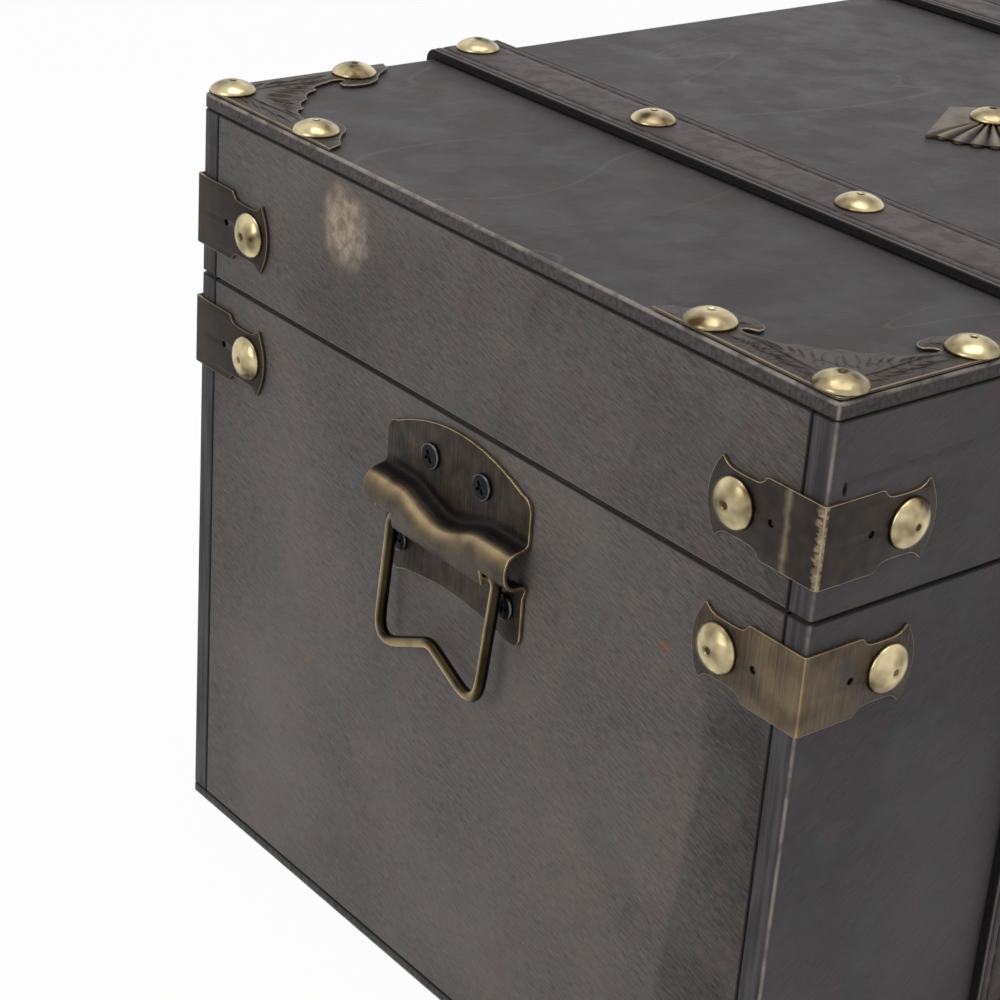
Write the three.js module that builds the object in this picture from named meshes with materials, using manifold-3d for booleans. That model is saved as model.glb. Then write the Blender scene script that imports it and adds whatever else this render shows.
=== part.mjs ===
import * as THREE from 'three';
import { mergeVertices } from 'three/addons/utils/BufferGeometryUtils.js';
import Module from 'manifold-3d';

const wasm = await Module();
wasm.setup();

// A wooden treasure chest, in millimetres. The origin is the centre of its underside.
// X runs along the front from left to right, Y from front to back, and Z is up.

// Chest body
const chestLength = 358;
const chestDepth = 240;
const chestHeight = 219;
const lidHeight = 50.6;
const seamGap = 0.8;
const boardThickness = 7;
const topPanelThickness = 4;
const bottomPanelThickness = 3;
const woodCornerRadius = 1.4;
const seatGap = 0.3;
const cutOverrun = 6;

// Round-headed tacks
const tackHeadRadius = 6.25;
const tackHeadRise = 3;
const tackShankRadius = 0.8;
const tackBiteShare = 0.65;
const tackTipLength = 1.6;
const pilotRadius = 1;
const pilotExtraDepth = 0.25;
const tackSides = 14;
const pilotSides = 6;
const tackDomeShares = [[0.54, 0.85], [0.9, 0.43]];

// Scrolled corner plates on the lid
const metalThickness = 0.8;
const topPlateLeg = 58;
const topPlateInset = 0.5;
const topPlateCornerTackInset = 5.5;
const topPlateLegTackReach = 45;

// Bent brackets round the upright corners
const bracketLeg = 33.5;
const bracketHeight = 19.6;
const lidBracketRise = 18.3;
const baseBracketDrop = 17;
const bracketTackShare = 0.755;
const spareHoleShare = 0.42;
const spareHoleRadius = 0.8;
const bracketBendRadius = 0.3;

// Stitched leather straps
const strapWidth = 24;
const strapThickness = 2.8;
const strapToPlateGap = 17.5;
const strapSeamInset = 1.6;
const strapRoundShare = 0.88;
const strapBottomInset = 1;
const strapTackEndInset = 5.5;
const strapTopTackCount = 4;
const lidStrapDropTackShare = 0.5;
const baseStrapTackShares = [0.2, 0.8];

// Sheet-metal handles on the end boards, measured from the swing axis of the wire bail
const handleAxisDrop = 32.2;
const handleWidth = 58;
const handleSheetThickness = 1;
const handleArchRise = 29.8;
const handleShoulderRise = 23.8;
const handleShoulderRadius = 4;
const handleFootDrop = 16.8;
const handleFootWidth = 8;
const handleFootRadius = 2.5;
const handleInstepDrop = 13.7;
const handleFootStep = 0.8;
const handleWaistDrop = 1.3;
const handleWaistInset = 0.8;
const hoodReach = 8.2;
const hoodBendRise = 12.5;
const hoodRidgeRise = 10.1;
const hoodFrontRise = 5.3;
const hoodLipDrop = 2.1;
const hoodLipLean = 1.8;
const hoodBandRise = 0.6;
const hoodDip = 4.4;
const hoodDipShare = 0.94;
const notchClearance = 1.6;
const notchHeadroom = 0.7;
const hoodSteps = 14;
const bandSteps = 1;
const hoodCurveSteps = 4;

// Wire bails
const wireRadius = 1.55;
const bailClearance = 1.8;
const bailSideInset = 7.4;
const bailTaper = 0.7;
const bailDrop = 35.9;
const bailPeakDrop = 26.7;
const bailLean = 3.35;
const bailStubLength = 8.5;
const bailTopRadius = 2.6;
const bailBottomRadius = 9;
const bailSides = 10;
const bailSteps = 44;

// Cross-head screws of the handles, with a flat seat under the head
const screwHeadRadius = 3.5;
const screwHeadRise = 0.9;
const screwShankRadius = 1.3;
const screwHoleClearance = 0.45;
const upperScrewRise = 19.7;
const upperScrewHalfSpacing = 10.4;
const lowerScrewDrop = 7.7;
const lowerScrewSideInset = 7.2;
const screwSlotWidth = 0.8;
const screwSlotLength = 3.4;
const screwSlotDepth = 0.6;
const screwSides = 10;

// Butt hinges on the back
const hingeWidth = 30;
const hingeLeafHeight = 16;
const hingeKnuckleRadius = 2.2;
const hingePinRadius = 0.8;
const pinRunningGap = 0.1;
const hingeKnuckles = 5;
const hingeKnuckleGap = 0.3;
const hingeLeafClearance = 0.4;
const hingePinHeadRadius = 1.5;
const hingePinHeadLength = 0.7;
const roundSides = 12;
const rivetRadius = 2;
const rivetRise = 0.8;
const rivetCrownShare = 0.6;
const rivetSides = 8;
const hingeRivetHeightShare = 0.6;
const hingeRivetSideShare = 0.3;
const knuckleTabShare = 1.1;

// Hasp on the front, hinged on the base, and its staple on the lid
const haspAxisDrop = 10;
const haspPlateMargin = 7;
const haspPlateHeight = 20;
const haspKnuckleRadius = 2.1;
const haspPinRadius = 0.8;
const haspPlateRadius = 2;
const haspFlapWidth = 20;
const haspFlapTip = 5.7;
const haspFlapThickness = 1.2;
const haspKnuckles = 3;
const haspSlotSideGap = 1.5;
const haspSlotEndGap = 1.6;
const haspSlotRoundShare = 0.75;
const staplePlateSeamInset = 4;
const stapleReach = 8.5;
const stapleSpan = 9;
const stapleWireRadius = 1.2;
const stapleBendRadius = 2.5;
const stapleOffset = 24;
const stapleSides = 8;
const stapleSteps = 16;

// Scalloped shell at the centre of the lid
const shellHalfWidth = 24.6;
const shellFront = 21.2;
const shellBack = 15.5;
const shellThickness = 1.8;
const shellFlutes = 9;
const shellScallop = 2.4;
const shellStepsPerFlute = 4;

const halfLength = chestLength / 2;
const halfDepth = chestDepth / 2;
const quarterTurn = Math.PI / 2;
const halfTurn = Math.PI;
const seamHeight = chestHeight - lidHeight;
const baseBoardBottom = bottomPanelThickness + seatGap;
const baseBoardTop = seamHeight - seamGap / 2;
const lidBoardBottom = seamHeight + seamGap / 2;
const lidBoardTop = chestHeight - topPanelThickness - seatGap;
const strapCentreInset = topPlateLeg + topPlateInset + strapToPlateGap + strapWidth / 2;
const hingeCentreInset = (bracketLeg + strapCentreInset - strapWidth / 2) / 2;

const finishes = {
  wood: { color: 0x3a3637, roughness: 0.6, metalness: 0 },
  leather: { color: 0x3f3331, roughness: 0.55, metalness: 0 },
  bronze: { color: 0x5a4a33, roughness: 0.4, metalness: 0.9 },
  brass: { color: 0x9c8554, roughness: 0.35, metalness: 0.95 },
  darkSteel: { color: 0x2b2a29, roughness: 0.4, metalness: 0.9 },
};

const cornerCurve = { curveSegments: 2 };
const scrollCurve = { curveSegments: 3 };
const broadCurve = { curveSegments: 5 };

const chest = new THREE.Group();

// Helpers

function toSolid(geometry) {
  const bare = geometry.clone();
  bare.deleteAttribute('normal');
  bare.deleteAttribute('uv');
  const merged = mergeVertices(bare);
  const vertProperties = Float32Array.from(merged.attributes.position.array);
  const triVerts = Uint32Array.from(merged.index.array);
  return new wasm.Manifold(new wasm.Mesh({ numProp: 3, vertProperties, triVerts }));
}

function toGeometry(solid) {
  const mesh = solid.getMesh();
  const geometry = new THREE.BufferGeometry();
  const positions = Float32Array.from(mesh.vertProperties);
  geometry.setAttribute('position', new THREE.BufferAttribute(positions, 3));
  geometry.setIndex(Array.from(mesh.triVerts));
  return geometry;
}

function join(solids) {
  return solids.reduce((whole, solid) => whole.add(solid));
}

function cut(solid, tools) {
  return tools.reduce((rest, tool) => rest.subtract(tool), solid);
}

function addMesh(name, geometry, finish, parent = chest) {
  const mesh = new THREE.Mesh(geometry, new THREE.MeshStandardMaterial(finishes[finish]));
  mesh.name = name;
  parent.add(mesh);
  return mesh;
}

function blockBetween(low, high) {
  const size = high.map((value, axis) => value - low[axis]);
  const geometry = new THREE.BoxGeometry(...size);
  geometry.translate(...low.map((value, axis) => value + size[axis] / 2));
  return geometry;
}

function extrude(shape, depth, options = {}) {
  return new THREE.ExtrudeGeometry(shape, { depth, bevelEnabled: false, ...cornerCurve, ...options });
}

// An extruded outline whose own x and y become Y and Z, standing along X from `start`
function extrudeAlongX(shape, start, end, options) {
  const geometry = extrude(shape, end - start, options);
  geometry.translate(0, 0, start);
  const cycle = new THREE.Matrix4().set(0, 0, 1, 0, 1, 0, 0, 0, 0, 1, 0, 0, 0, 0, 0, 1);
  return geometry.applyMatrix4(cycle);
}

// An extruded outline whose own x and y become X and Z, standing along Y from `start`
function extrudeAlongY(shape, start, end, options) {
  const geometry = extrude(shape, end - start, options);
  geometry.translate(0, 0, -end);
  return geometry.rotateX(quarterTurn);
}

function shapeFrom(points) {
  return new THREE.Shape(points.map(([x, y]) => new THREE.Vector2(x, y)));
}

function roundedRectangle(left, bottom, right, top, radius) {
  const shape = new THREE.Shape();
  shape.absarc(right - radius, bottom + radius, radius, -quarterTurn, 0);
  shape.absarc(right - radius, top - radius, radius, 0, quarterTurn);
  shape.absarc(left + radius, top - radius, radius, quarterTurn, halfTurn);
  shape.absarc(left + radius, bottom + radius, radius, halfTurn, halfTurn + quarterTurn);
  return shape;
}

function rodAlongZ(radius, bottom, top, sides) {
  const geometry = new THREE.CylinderGeometry(radius, radius, top - bottom, sides);
  geometry.rotateX(quarterTurn);
  geometry.translate(0, 0, (bottom + top) / 2);
  return geometry;
}

function rodAlongX(radius, left, right, sides) {
  const geometry = rodAlongZ(radius, left, right, sides);
  return geometry.rotateY(quarterTurn);
}

function lathe(profile, sides) {
  const points = profile.map(([radius, height]) => new THREE.Vector2(radius, height));
  const geometry = new THREE.LatheGeometry(points, sides);
  return geometry.rotateX(quarterTurn);
}

// The turn that stands a +Z tool on a face, for each way that a face can look
const facing = {
  up: new THREE.Matrix4(),
  front: new THREE.Matrix4().makeRotationX(quarterTurn),
  back: new THREE.Matrix4().makeRotationX(-quarterTurn),
  left: new THREE.Matrix4().makeRotationY(-quarterTurn),
  right: new THREE.Matrix4().makeRotationY(quarterTurn),
};

function stand(side, x, y, z) {
  return new THREE.Matrix4().makeTranslation(x, y, z).multiply(facing[side]);
}

// Fasteners, with z = 0 where the head seats and the shank below

// How far a shank reaches through the piece that it holds and into the wood below
function shankThrough(held, wood) {
  return held + seatGap + wood * tackBiteShare;
}

const bracketTackLength = shankThrough(metalThickness, boardThickness);
const topPlateTackLength = shankThrough(metalThickness, topPanelThickness);
const strapTopTackLength = shankThrough(strapThickness, topPanelThickness);
const strapFaceTackLength = shankThrough(strapThickness, boardThickness);
const shellTackLength = shankThrough(shellThickness, topPanelThickness);
const screwShankLength = shankThrough(handleSheetThickness, boardThickness);

function tack(length) {
  const dome = tackDomeShares.map(([across, up]) => [across * tackHeadRadius, up * tackHeadRise]);
  return lathe([
    [0, -length],
    [tackShankRadius, tackTipLength - length],
    [tackShankRadius, 0],
    [tackHeadRadius, 0],
    ...dome.reverse(),
    [0, tackHeadRise],
  ], tackSides);
}

function pilot(length) {
  return rodAlongZ(pilotRadius, -length - pilotExtraDepth, cutOverrun, pilotSides);
}

function screw() {
  const body = toSolid(lathe([
    [0, -screwShankLength],
    [screwShankRadius, tackTipLength - screwShankLength],
    [screwShankRadius, 0],
    [screwHeadRadius, 0],
    [screwHeadRadius, screwHeadRise / 2],
    [0, screwHeadRise],
  ], screwSides));
  const floor = screwHeadRise - screwSlotDepth;
  const long = screwSlotLength / 2;
  const narrow = screwSlotWidth / 2;
  const slots = [[long, narrow], [narrow, long]].map(([x, y]) => (
    toSolid(blockBetween([-x, -y, floor], [x, y, screwHeadRise + cutOverrun]))
  ));
  return toGeometry(cut(body, slots));
}

function screwPilot() {
  const radius = screwShankRadius + screwHoleClearance;
  return rodAlongZ(radius, -screwShankLength - pilotExtraDepth, cutOverrun, pilotSides);
}

function rivet() {
  return lathe([
    [0, -bracketTackLength],
    [tackShankRadius, tackTipLength - bracketTackLength],
    [tackShankRadius, 0],
    [rivetRadius, 0],
    [rivetRadius * rivetCrownShare, rivetRise],
    [0, rivetRise],
  ], rivetSides);
}

const pilots = [];

function drill(tool, frame) {
  const solid = toSolid(tool.clone().applyMatrix4(frame));
  pilots.push(solid);
  return solid;
}

// Frames of the four upright corners, each with the wood in its +X +Y quarter

const corners = [
  ['front_left', -halfLength, -halfDepth],
  ['front_right', halfLength, -halfDepth],
  ['back_right', halfLength, halfDepth],
  ['back_left', -halfLength, halfDepth],
].map(([name, x, y], index) => ({ name, x, y, turn: index * quarterTurn }));

function cornerFrame(corner, height) {
  const frame = new THREE.Matrix4().makeRotationZ(corner.turn);
  return frame.setPosition(corner.x, corner.y, height);
}

// Bent corner brackets

function bracketSection() {
  const inner = bracketBendRadius;
  const outer = inner + metalThickness;
  const shape = new THREE.Shape();
  const bend = inner - seatGap;
  shape.moveTo(bend - outer, bracketLeg + cutOverrun);
  shape.absarc(bend, bend, outer, halfTurn, halfTurn + quarterTurn);
  shape.lineTo(bracketLeg + cutOverrun, bend - outer);
  shape.lineTo(bracketLeg + cutOverrun, bend - inner);
  shape.absarc(bend, bend, inner, halfTurn + quarterTurn, halfTurn, true);
  shape.lineTo(bend - inner, bracketLeg + cutOverrun);
  return shape;
}

const bracketShares = {
  shoulder: 0.49, shoulderPull: 0.525, neck: 0.6, neckEnd: 0.78, neckHeight: 0.77,
  horn: 0.9, hornPull: 0.85, endPull: 1.1,
};

function bracketOutline() {
  const top = bracketHeight / 2;
  const { shoulder, shoulderPull, neck, neckEnd, neckHeight, horn, hornPull, endPull } = bracketShares;
  const shape = new THREE.Shape();
  shape.moveTo(-cutOverrun, top);
  shape.lineTo(-cutOverrun, -top);
  shape.lineTo(shoulder * bracketLeg, -top);
  shape.quadraticCurveTo(shoulderPull * bracketLeg, -neckHeight * top, neck * bracketLeg, -neckHeight * top);
  shape.lineTo(neckEnd * bracketLeg, -neckHeight * top);
  shape.quadraticCurveTo(hornPull * bracketLeg, -neckHeight * top, horn * bracketLeg, -top);
  shape.quadraticCurveTo(endPull * bracketLeg, 0, horn * bracketLeg, top);
  shape.quadraticCurveTo(hornPull * bracketLeg, neckHeight * top, neckEnd * bracketLeg, neckHeight * top);
  shape.lineTo(neck * bracketLeg, neckHeight * top);
  shape.quadraticCurveTo(shoulderPull * bracketLeg, neckHeight * top, shoulder * bracketLeg, top);
  return shape;
}

function bracketSeats(reach) {
  const face = -seatGap - metalThickness;
  return [stand('front', reach, face, 0), stand('left', face, reach, 0)];
}

const bracketTackSeats = bracketSeats(bracketLeg * bracketTackShare);

function cornerBracket() {
  const half = bracketHeight / 2 + cutOverrun;
  const section = extrude(bracketSection(), half * 2).translate(0, 0, -half);
  const outline = bracketOutline();
  const frontLeg = toSolid(extrudeAlongY(outline, -cutOverrun, woodCornerRadius, scrollCurve));
  const endLeg = toSolid(extrudeAlongX(outline, -cutOverrun, woodCornerRadius, scrollCurve));
  const bent = toSolid(section).intersect(frontLeg.add(endLeg));
  const holes = bracketSeats(bracketLeg * spareHoleShare).map((seat) => (
    toSolid(rodAlongZ(spareHoleRadius, -cutOverrun, cutOverrun, pilotSides).applyMatrix4(seat))
  ));
  const tacks = bracketTackSeats.map((seat) => toSolid(tack(bracketTackLength).applyMatrix4(seat)));
  return toGeometry(join([cut(bent, holes), ...tacks]));
}

function addBrackets(prefix, height) {
  const geometry = cornerBracket();
  for (const corner of corners) {
    const mesh = addMesh(`${prefix}_corner_bracket_${corner.name}`, geometry.clone(), 'bronze');
    mesh.position.set(corner.x, corner.y, height);
    mesh.rotation.z = corner.turn;
    const frame = cornerFrame(corner, height);
    bracketTackSeats.forEach((seat) => drill(pilot(bracketTackLength).applyMatrix4(seat), frame));
  }
}

// Scrolled plates on the lid's corners

const topPlateShares = {
  tip: [1, 0],
  tipShoulder: [0.97, 0.078],
  waistPull: [0.86, 0.14],
  waist: [0.82, 0.21],
  lobePull: [0.75, 0.262],
  lobe: [0.685, 0.25],
  hookPull: [0.63, 0.25],
  hook: [0.61, 0.212],
  slotMouth: [0.618, 0.185],
  slotEnd: [0.655, 0.137],
  scroll: [0.57, 0.15],
  scallopPull: [0.5, 0.165],
  scallop: [0.468, 0.19],
  cusp: [0.453, 0.232],
  crownPull: [0.37, 0.245],
  crown: 0.332,
};

function topPlateOutline() {
  const at = (name) => topPlateShares[name].map((share) => share * topPlateLeg);
  const across = (name) => at(name).reverse();
  const crown = topPlateShares.crown * topPlateLeg;
  const shape = new THREE.Shape();
  shape.absarc(woodCornerRadius, woodCornerRadius, woodCornerRadius, halfTurn, halfTurn + quarterTurn);
  shape.lineTo(...at('tip'));
  shape.lineTo(...at('tipShoulder'));
  shape.quadraticCurveTo(...at('waistPull'), ...at('waist'));
  shape.quadraticCurveTo(...at('lobePull'), ...at('lobe'));
  shape.quadraticCurveTo(...at('hookPull'), ...at('hook'));
  ['slotMouth', 'slotEnd', 'scroll'].forEach((name) => shape.lineTo(...at(name)));
  shape.quadraticCurveTo(...at('scallopPull'), ...at('scallop'));
  shape.lineTo(...at('cusp'));
  shape.quadraticCurveTo(...at('crownPull'), crown, crown);
  shape.quadraticCurveTo(...across('crownPull'), ...across('cusp'));
  shape.lineTo(...across('scallop'));
  shape.quadraticCurveTo(...across('scallopPull'), ...across('scroll'));
  ['slotEnd', 'slotMouth', 'hook'].forEach((name) => shape.lineTo(...across(name)));
  shape.quadraticCurveTo(...across('hookPull'), ...across('lobe'));
  shape.quadraticCurveTo(...across('lobePull'), ...across('waist'));
  shape.quadraticCurveTo(...across('waistPull'), ...across('tipShoulder'));
  shape.lineTo(...across('tip'));
  return shape;
}

function topPlateSeats() {
  const inset = topPlateCornerTackInset;
  const places = [[inset, inset], [topPlateLegTackReach, inset], [inset, topPlateLegTackReach]];
  return places.map(([x, y]) => stand('up', x, y, seatGap + metalThickness));
}

function topPlate() {
  const plate = extrude(topPlateOutline(), metalThickness, scrollCurve);
  plate.translate(topPlateInset, topPlateInset, seatGap);
  const tacks = topPlateSeats().map((seat) => toSolid(tack(topPlateTackLength).applyMatrix4(seat)));
  return toGeometry(join([toSolid(plate), ...tacks]));
}

function addTopPlates() {
  const geometry = topPlate();
  for (const corner of corners) {
    const mesh = addMesh(`lid_top_corner_plate_${corner.name}`, geometry.clone(), 'bronze');
    mesh.position.set(corner.x, corner.y, chestHeight);
    mesh.rotation.z = corner.turn;
    const frame = cornerFrame(corner, chestHeight);
    topPlateSeats().forEach((seat) => drill(pilot(topPlateTackLength).applyMatrix4(seat), frame));
  }
}

// Leather straps: one over the lid, one down the front and one down the back, at each side

const strapCentres = [['left', strapCentreInset - halfLength], ['right', halfLength - strapCentreInset]];
const strapFaceReach = halfDepth + seatGap + strapThickness;
const strapTop = chestHeight + seatGap + strapThickness;
const lidStrapBottom = lidBoardBottom + strapSeamInset;
const baseStrapTop = baseBoardTop - strapSeamInset;

function lidStrapOutline() {
  const inside = halfDepth + seatGap;
  const outside = strapFaceReach;
  const under = chestHeight + seatGap;
  const radius = strapThickness * strapRoundShare;
  const shape = new THREE.Shape();
  shape.moveTo(-inside, lidStrapBottom);
  shape.lineTo(-inside, under);
  shape.lineTo(inside, under);
  shape.lineTo(inside, lidStrapBottom);
  shape.lineTo(outside, lidStrapBottom);
  shape.absarc(outside - radius, strapTop - radius, radius, 0, quarterTurn);
  shape.absarc(radius - outside, strapTop - radius, radius, quarterTurn, halfTurn);
  shape.lineTo(-outside, lidStrapBottom);
  return shape;
}

function strapTopTackPlaces() {
  const first = strapTackEndInset - halfDepth;
  const step = (chestDepth - strapTackEndInset * 2) / (strapTopTackCount - 1);
  return Array.from({ length: strapTopTackCount }, (_, index) => first + step * index);
}

function addLidStrap(side, x) {
  const half = strapWidth / 2;
  const dropTackHeight = lidStrapBottom + (strapTop - lidStrapBottom) * lidStrapDropTackShare;
  const dropSeats = [
    stand('front', x, -strapFaceReach, dropTackHeight),
    stand('back', x, strapFaceReach, dropTackHeight),
  ];
  const topSeats = strapTopTackPlaces().map((y) => stand('up', x, y, strapTop));
  const holes = topSeats.map((seat) => drill(pilot(strapTopTackLength), seat));
  dropSeats.forEach((seat) => drill(pilot(strapFaceTackLength), seat));
  const leather = cut(toSolid(extrudeAlongX(lidStrapOutline(), x - half, x + half)), holes);
  const tacks = dropSeats.map((seat) => toSolid(tack(strapFaceTackLength).applyMatrix4(seat)));
  addMesh(`lid_strap_${side}`, toGeometry(join([leather, ...tacks])), 'leather');
  topSeats.forEach((seat, index) => {
    const mesh = addMesh(`lid_strap_${side}_tack_${index + 1}`, tack(strapTopTackLength), 'brass');
    mesh.position.setFromMatrixPosition(seat);
  });
}

function addBaseStrap(side, x, face, faceName) {
  const half = strapWidth / 2;
  const near = face * (halfDepth + seatGap);
  const far = face * strapFaceReach;
  const low = [x - half, Math.min(near, far), strapBottomInset];
  const high = [x + half, Math.max(near, far), baseStrapTop];
  const height = baseStrapTop - strapBottomInset;
  const seats = baseStrapTackShares.map((share) => (
    stand(faceName, x, far, strapBottomInset + height * share)
  ));
  seats.forEach((seat) => drill(pilot(strapFaceTackLength), seat));
  const tacks = seats.map((seat) => toSolid(tack(strapFaceTackLength).applyMatrix4(seat)));
  const leather = toSolid(blockBetween(low, high));
  addMesh(`base_${faceName}_strap_${side}`, toGeometry(join([leather, ...tacks])), 'leather');
}

function addStraps() {
  for (const [side, x] of strapCentres) {
    addLidStrap(side, x);
    addBaseStrap(side, x, -1, 'front');
    addBaseStrap(side, x, 1, 'back');
  }
}

// Handles, in a frame on the end board with x off the wall, y along it and z up from the bail's axis

const sheetBack = seatGap;
const sheetMiddle = seatGap + handleSheetThickness / 2;
const hoodMiddle = hoodReach - handleSheetThickness / 2;
const bailAxisReach = hoodReach - handleSheetThickness - bailClearance - wireRadius;
const bailTopHalfWidth = handleWidth / 2 - bailSideInset;
const bailBottomHalfWidth = bailTopHalfWidth - bailTaper;
const hoodHalfWidth = bailTopHalfWidth - wireRadius - notchClearance;
const hoodDipHalfWidth = hoodHalfWidth * hoodDipShare;
const bandInnerReach = bailTopHalfWidth + wireRadius + notchClearance;
const notchTopRise = wireRadius + notchHeadroom;
const lowerScrewHalfSpacing = handleWidth / 2 - lowerScrewSideInset;

function bezier(...pairs) {
  const [a, b, c, d] = pairs.map(([x, y]) => new THREE.Vector2(x, y));
  return new THREE.CubicBezierCurve(a, b, c, d).getPoints(hoodCurveSteps);
}

// The band of sheet on both sides of a line, as a closed outline
function sheetAround(line) {
  const half = handleSheetThickness / 2;
  const offset = (sign) => line.map((point, index) => {
    const before = line[Math.max(index - 1, 0)];
    const after = line[Math.min(index + 1, line.length - 1)];
    const along = after.clone().sub(before).normalize();
    return [point.x - along.y * half * sign, point.y + along.x * half * sign];
  });
  return shapeFrom([...offset(1), ...offset(-1).reverse()]);
}

function hoodUpperLine() {
  const crest = (hoodMiddle + sheetMiddle) / 2;
  const shoulder = hoodRidgeRise + handleSheetThickness / 2;
  const brow = (hoodRidgeRise + hoodFrontRise) / 2 + handleSheetThickness / 2;
  const top = new THREE.Vector2(sheetMiddle, handleArchRise);
  const rise = bezier(
    [sheetMiddle, hoodBendRise],
    [sheetMiddle, shoulder],
    [sheetMiddle + handleSheetThickness, shoulder],
    [crest, hoodRidgeRise],
  );
  const ridge = bezier(
    [crest, hoodRidgeRise],
    [hoodMiddle - handleSheetThickness, hoodRidgeRise - handleSheetThickness / 2],
    [hoodMiddle, brow],
    [hoodMiddle, hoodFrontRise],
  );
  return [top, ...rise, ...ridge.slice(1)];
}

function hoodLine() {
  return [...hoodUpperLine(), new THREE.Vector2(hoodMiddle - hoodLipLean, -hoodLipDrop)];
}

function bandLine() {
  const turn = bezier(
    [hoodMiddle, hoodFrontRise],
    [hoodMiddle, (hoodFrontRise + hoodBandRise) / 2],
    [hoodMiddle - handleSheetThickness, hoodBandRise],
    [sheetMiddle + handleSheetThickness * 3, hoodBandRise],
  );
  const tuck = bezier(
    [sheetMiddle + handleSheetThickness * 3, hoodBandRise],
    [sheetMiddle + handleSheetThickness, hoodBandRise],
    [sheetMiddle, hoodBandRise - handleSheetThickness / 2],
    [sheetMiddle, hoodBandRise - handleSheetThickness * 1.5],
  );
  const foot = new THREE.Vector2(sheetMiddle, -handleInstepDrop);
  return [...hoodUpperLine(), ...turn.slice(1), ...tuck.slice(1), foot];
}

// The ridge of the hood dips towards its middle
function dipHood(geometry) {
  const position = geometry.attributes.position;
  const span = hoodBendRise + handleSheetThickness * 2 - hoodFrontRise;
  for (let index = 0; index < position.count; index += 1) {
    const y = position.getY(index);
    const z = position.getZ(index);
    const inPlay = Math.abs(y) < hoodDipHalfWidth && z > -hoodLipDrop && z < hoodFrontRise + span * 2;
    if (inPlay) {
      const across = (1 + Math.cos(halfTurn * y / hoodDipHalfWidth)) / 2;
      const below = Math.min(1, (z + hoodLipDrop) / (hoodLipDrop + hoodFrontRise));
      const above = Math.min(1, (hoodFrontRise + span * 2 - z) / span);
      position.setZ(index, z - hoodDip * across * below * above);
    }
  }
  return geometry;
}

function sheetRun(line, from, to, steps) {
  const geometry = extrude(sheetAround(line), to - from, { steps });
  geometry.translate(0, 0, -to);
  return dipHood(geometry.rotateX(quarterTurn));
}

function handleSilhouette() {
  const half = handleWidth / 2;
  const waist = half - handleWaistInset;
  const radius = handleFootRadius;
  const footInner = waist - handleFootWidth;
  const step = handleFootDrop - handleFootStep;
  const shape = new THREE.Shape();
  shape.moveTo(0, -handleInstepDrop);
  shape.quadraticCurveTo(footInner / 2, -handleInstepDrop, footInner, -step);
  shape.quadraticCurveTo(footInner + radius / 2, -handleFootDrop, footInner + radius, -handleFootDrop);
  shape.absarc(waist - radius, radius - handleFootDrop, radius, -quarterTurn, 0);
  shape.lineTo(waist, -handleWaistDrop);
  shape.lineTo(half, -handleWaistDrop);
  shape.lineTo(half, handleShoulderRise - handleShoulderRadius);
  shape.quadraticCurveTo(half, handleShoulderRise, half - handleShoulderRadius, handleShoulderRise);
  const crown = handleArchRise * 2 - handleShoulderRise;
  shape.quadraticCurveTo(0, crown, handleShoulderRadius - half, handleShoulderRise);
  shape.quadraticCurveTo(-half, handleShoulderRise, -half, handleShoulderRise - handleShoulderRadius);
  shape.lineTo(-half, -handleWaistDrop);
  shape.lineTo(-waist, -handleWaistDrop);
  shape.lineTo(-waist, radius - handleFootDrop);
  shape.absarc(radius - waist, radius - handleFootDrop, radius, halfTurn, halfTurn + quarterTurn);
  shape.quadraticCurveTo(-footInner - radius / 2, -handleFootDrop, -footInner, -step);
  shape.quadraticCurveTo(-footInner / 2, -handleInstepDrop, 0, -handleInstepDrop);
  return shape;
}

function screwSeats() {
  const places = [
    [-upperScrewHalfSpacing, upperScrewRise],
    [upperScrewHalfSpacing, upperScrewRise],
    [-lowerScrewHalfSpacing, -lowerScrewDrop],
    [lowerScrewHalfSpacing, -lowerScrewDrop],
  ];
  return places.map(([y, z]) => stand('right', seatGap + handleSheetThickness, y, z));
}

function handlePlate() {
  const half = handleWidth / 2;
  const hood = toSolid(sheetRun(hoodLine(), -half, half, hoodSteps));
  const far = hoodReach + cutOverrun;
  const notchSides = [-1, 1].map((sign) => {
    const inner = sign * hoodHalfWidth;
    const outer = sign * (half + cutOverrun);
    const low = [-cutOverrun, Math.min(inner, outer), -handleFootDrop];
    return toSolid(blockBetween(low, [far, Math.max(inner, outer), notchTopRise]));
  });
  const bands = [[-half, -bandInnerReach], [bandInnerReach, half]].map(([from, to]) => (
    toSolid(sheetRun(bandLine(), from, to, bandSteps))
  ));
  const lower = toSolid(blockBetween(
    [sheetBack, -half, -handleFootDrop],
    [sheetBack + handleSheetThickness, half, hoodBandRise],
  ));
  const outline = toSolid(extrudeAlongX(handleSilhouette(), -cutOverrun, far, broadCurve));
  const whole = join([cut(hood, notchSides), ...bands, lower]).intersect(outline);
  const holes = screwSeats().map((seat) => toSolid(screwPilot().applyMatrix4(seat)));
  return toGeometry(cut(whole, holes));
}

function roundedPath(points, radii) {
  const path = new THREE.CurvePath();
  let start = points[0];
  for (let index = 1; index < points.length - 1; index += 1) {
    const corner = points[index];
    const toStart = start.clone().sub(corner).normalize();
    const toNext = points[index + 1].clone().sub(corner).normalize();
    const before = corner.clone().addScaledVector(toStart, radii[index - 1]);
    const after = corner.clone().addScaledVector(toNext, radii[index - 1]);
    path.add(new THREE.LineCurve3(start, before));
    path.add(new THREE.QuadraticBezierCurve3(before, corner, after));
    start = after;
  }
  path.add(new THREE.LineCurve3(start, points[points.length - 1]));
  return path;
}

function wireAlong(path, radius, sides, steps) {
  const section = new THREE.Shape();
  section.absarc(0, 0, radius, 0, halfTurn * 2);
  return new THREE.ExtrudeGeometry(section, {
    extrudePath: path, steps, curveSegments: sides / 2, bevelEnabled: false,
  });
}

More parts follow.
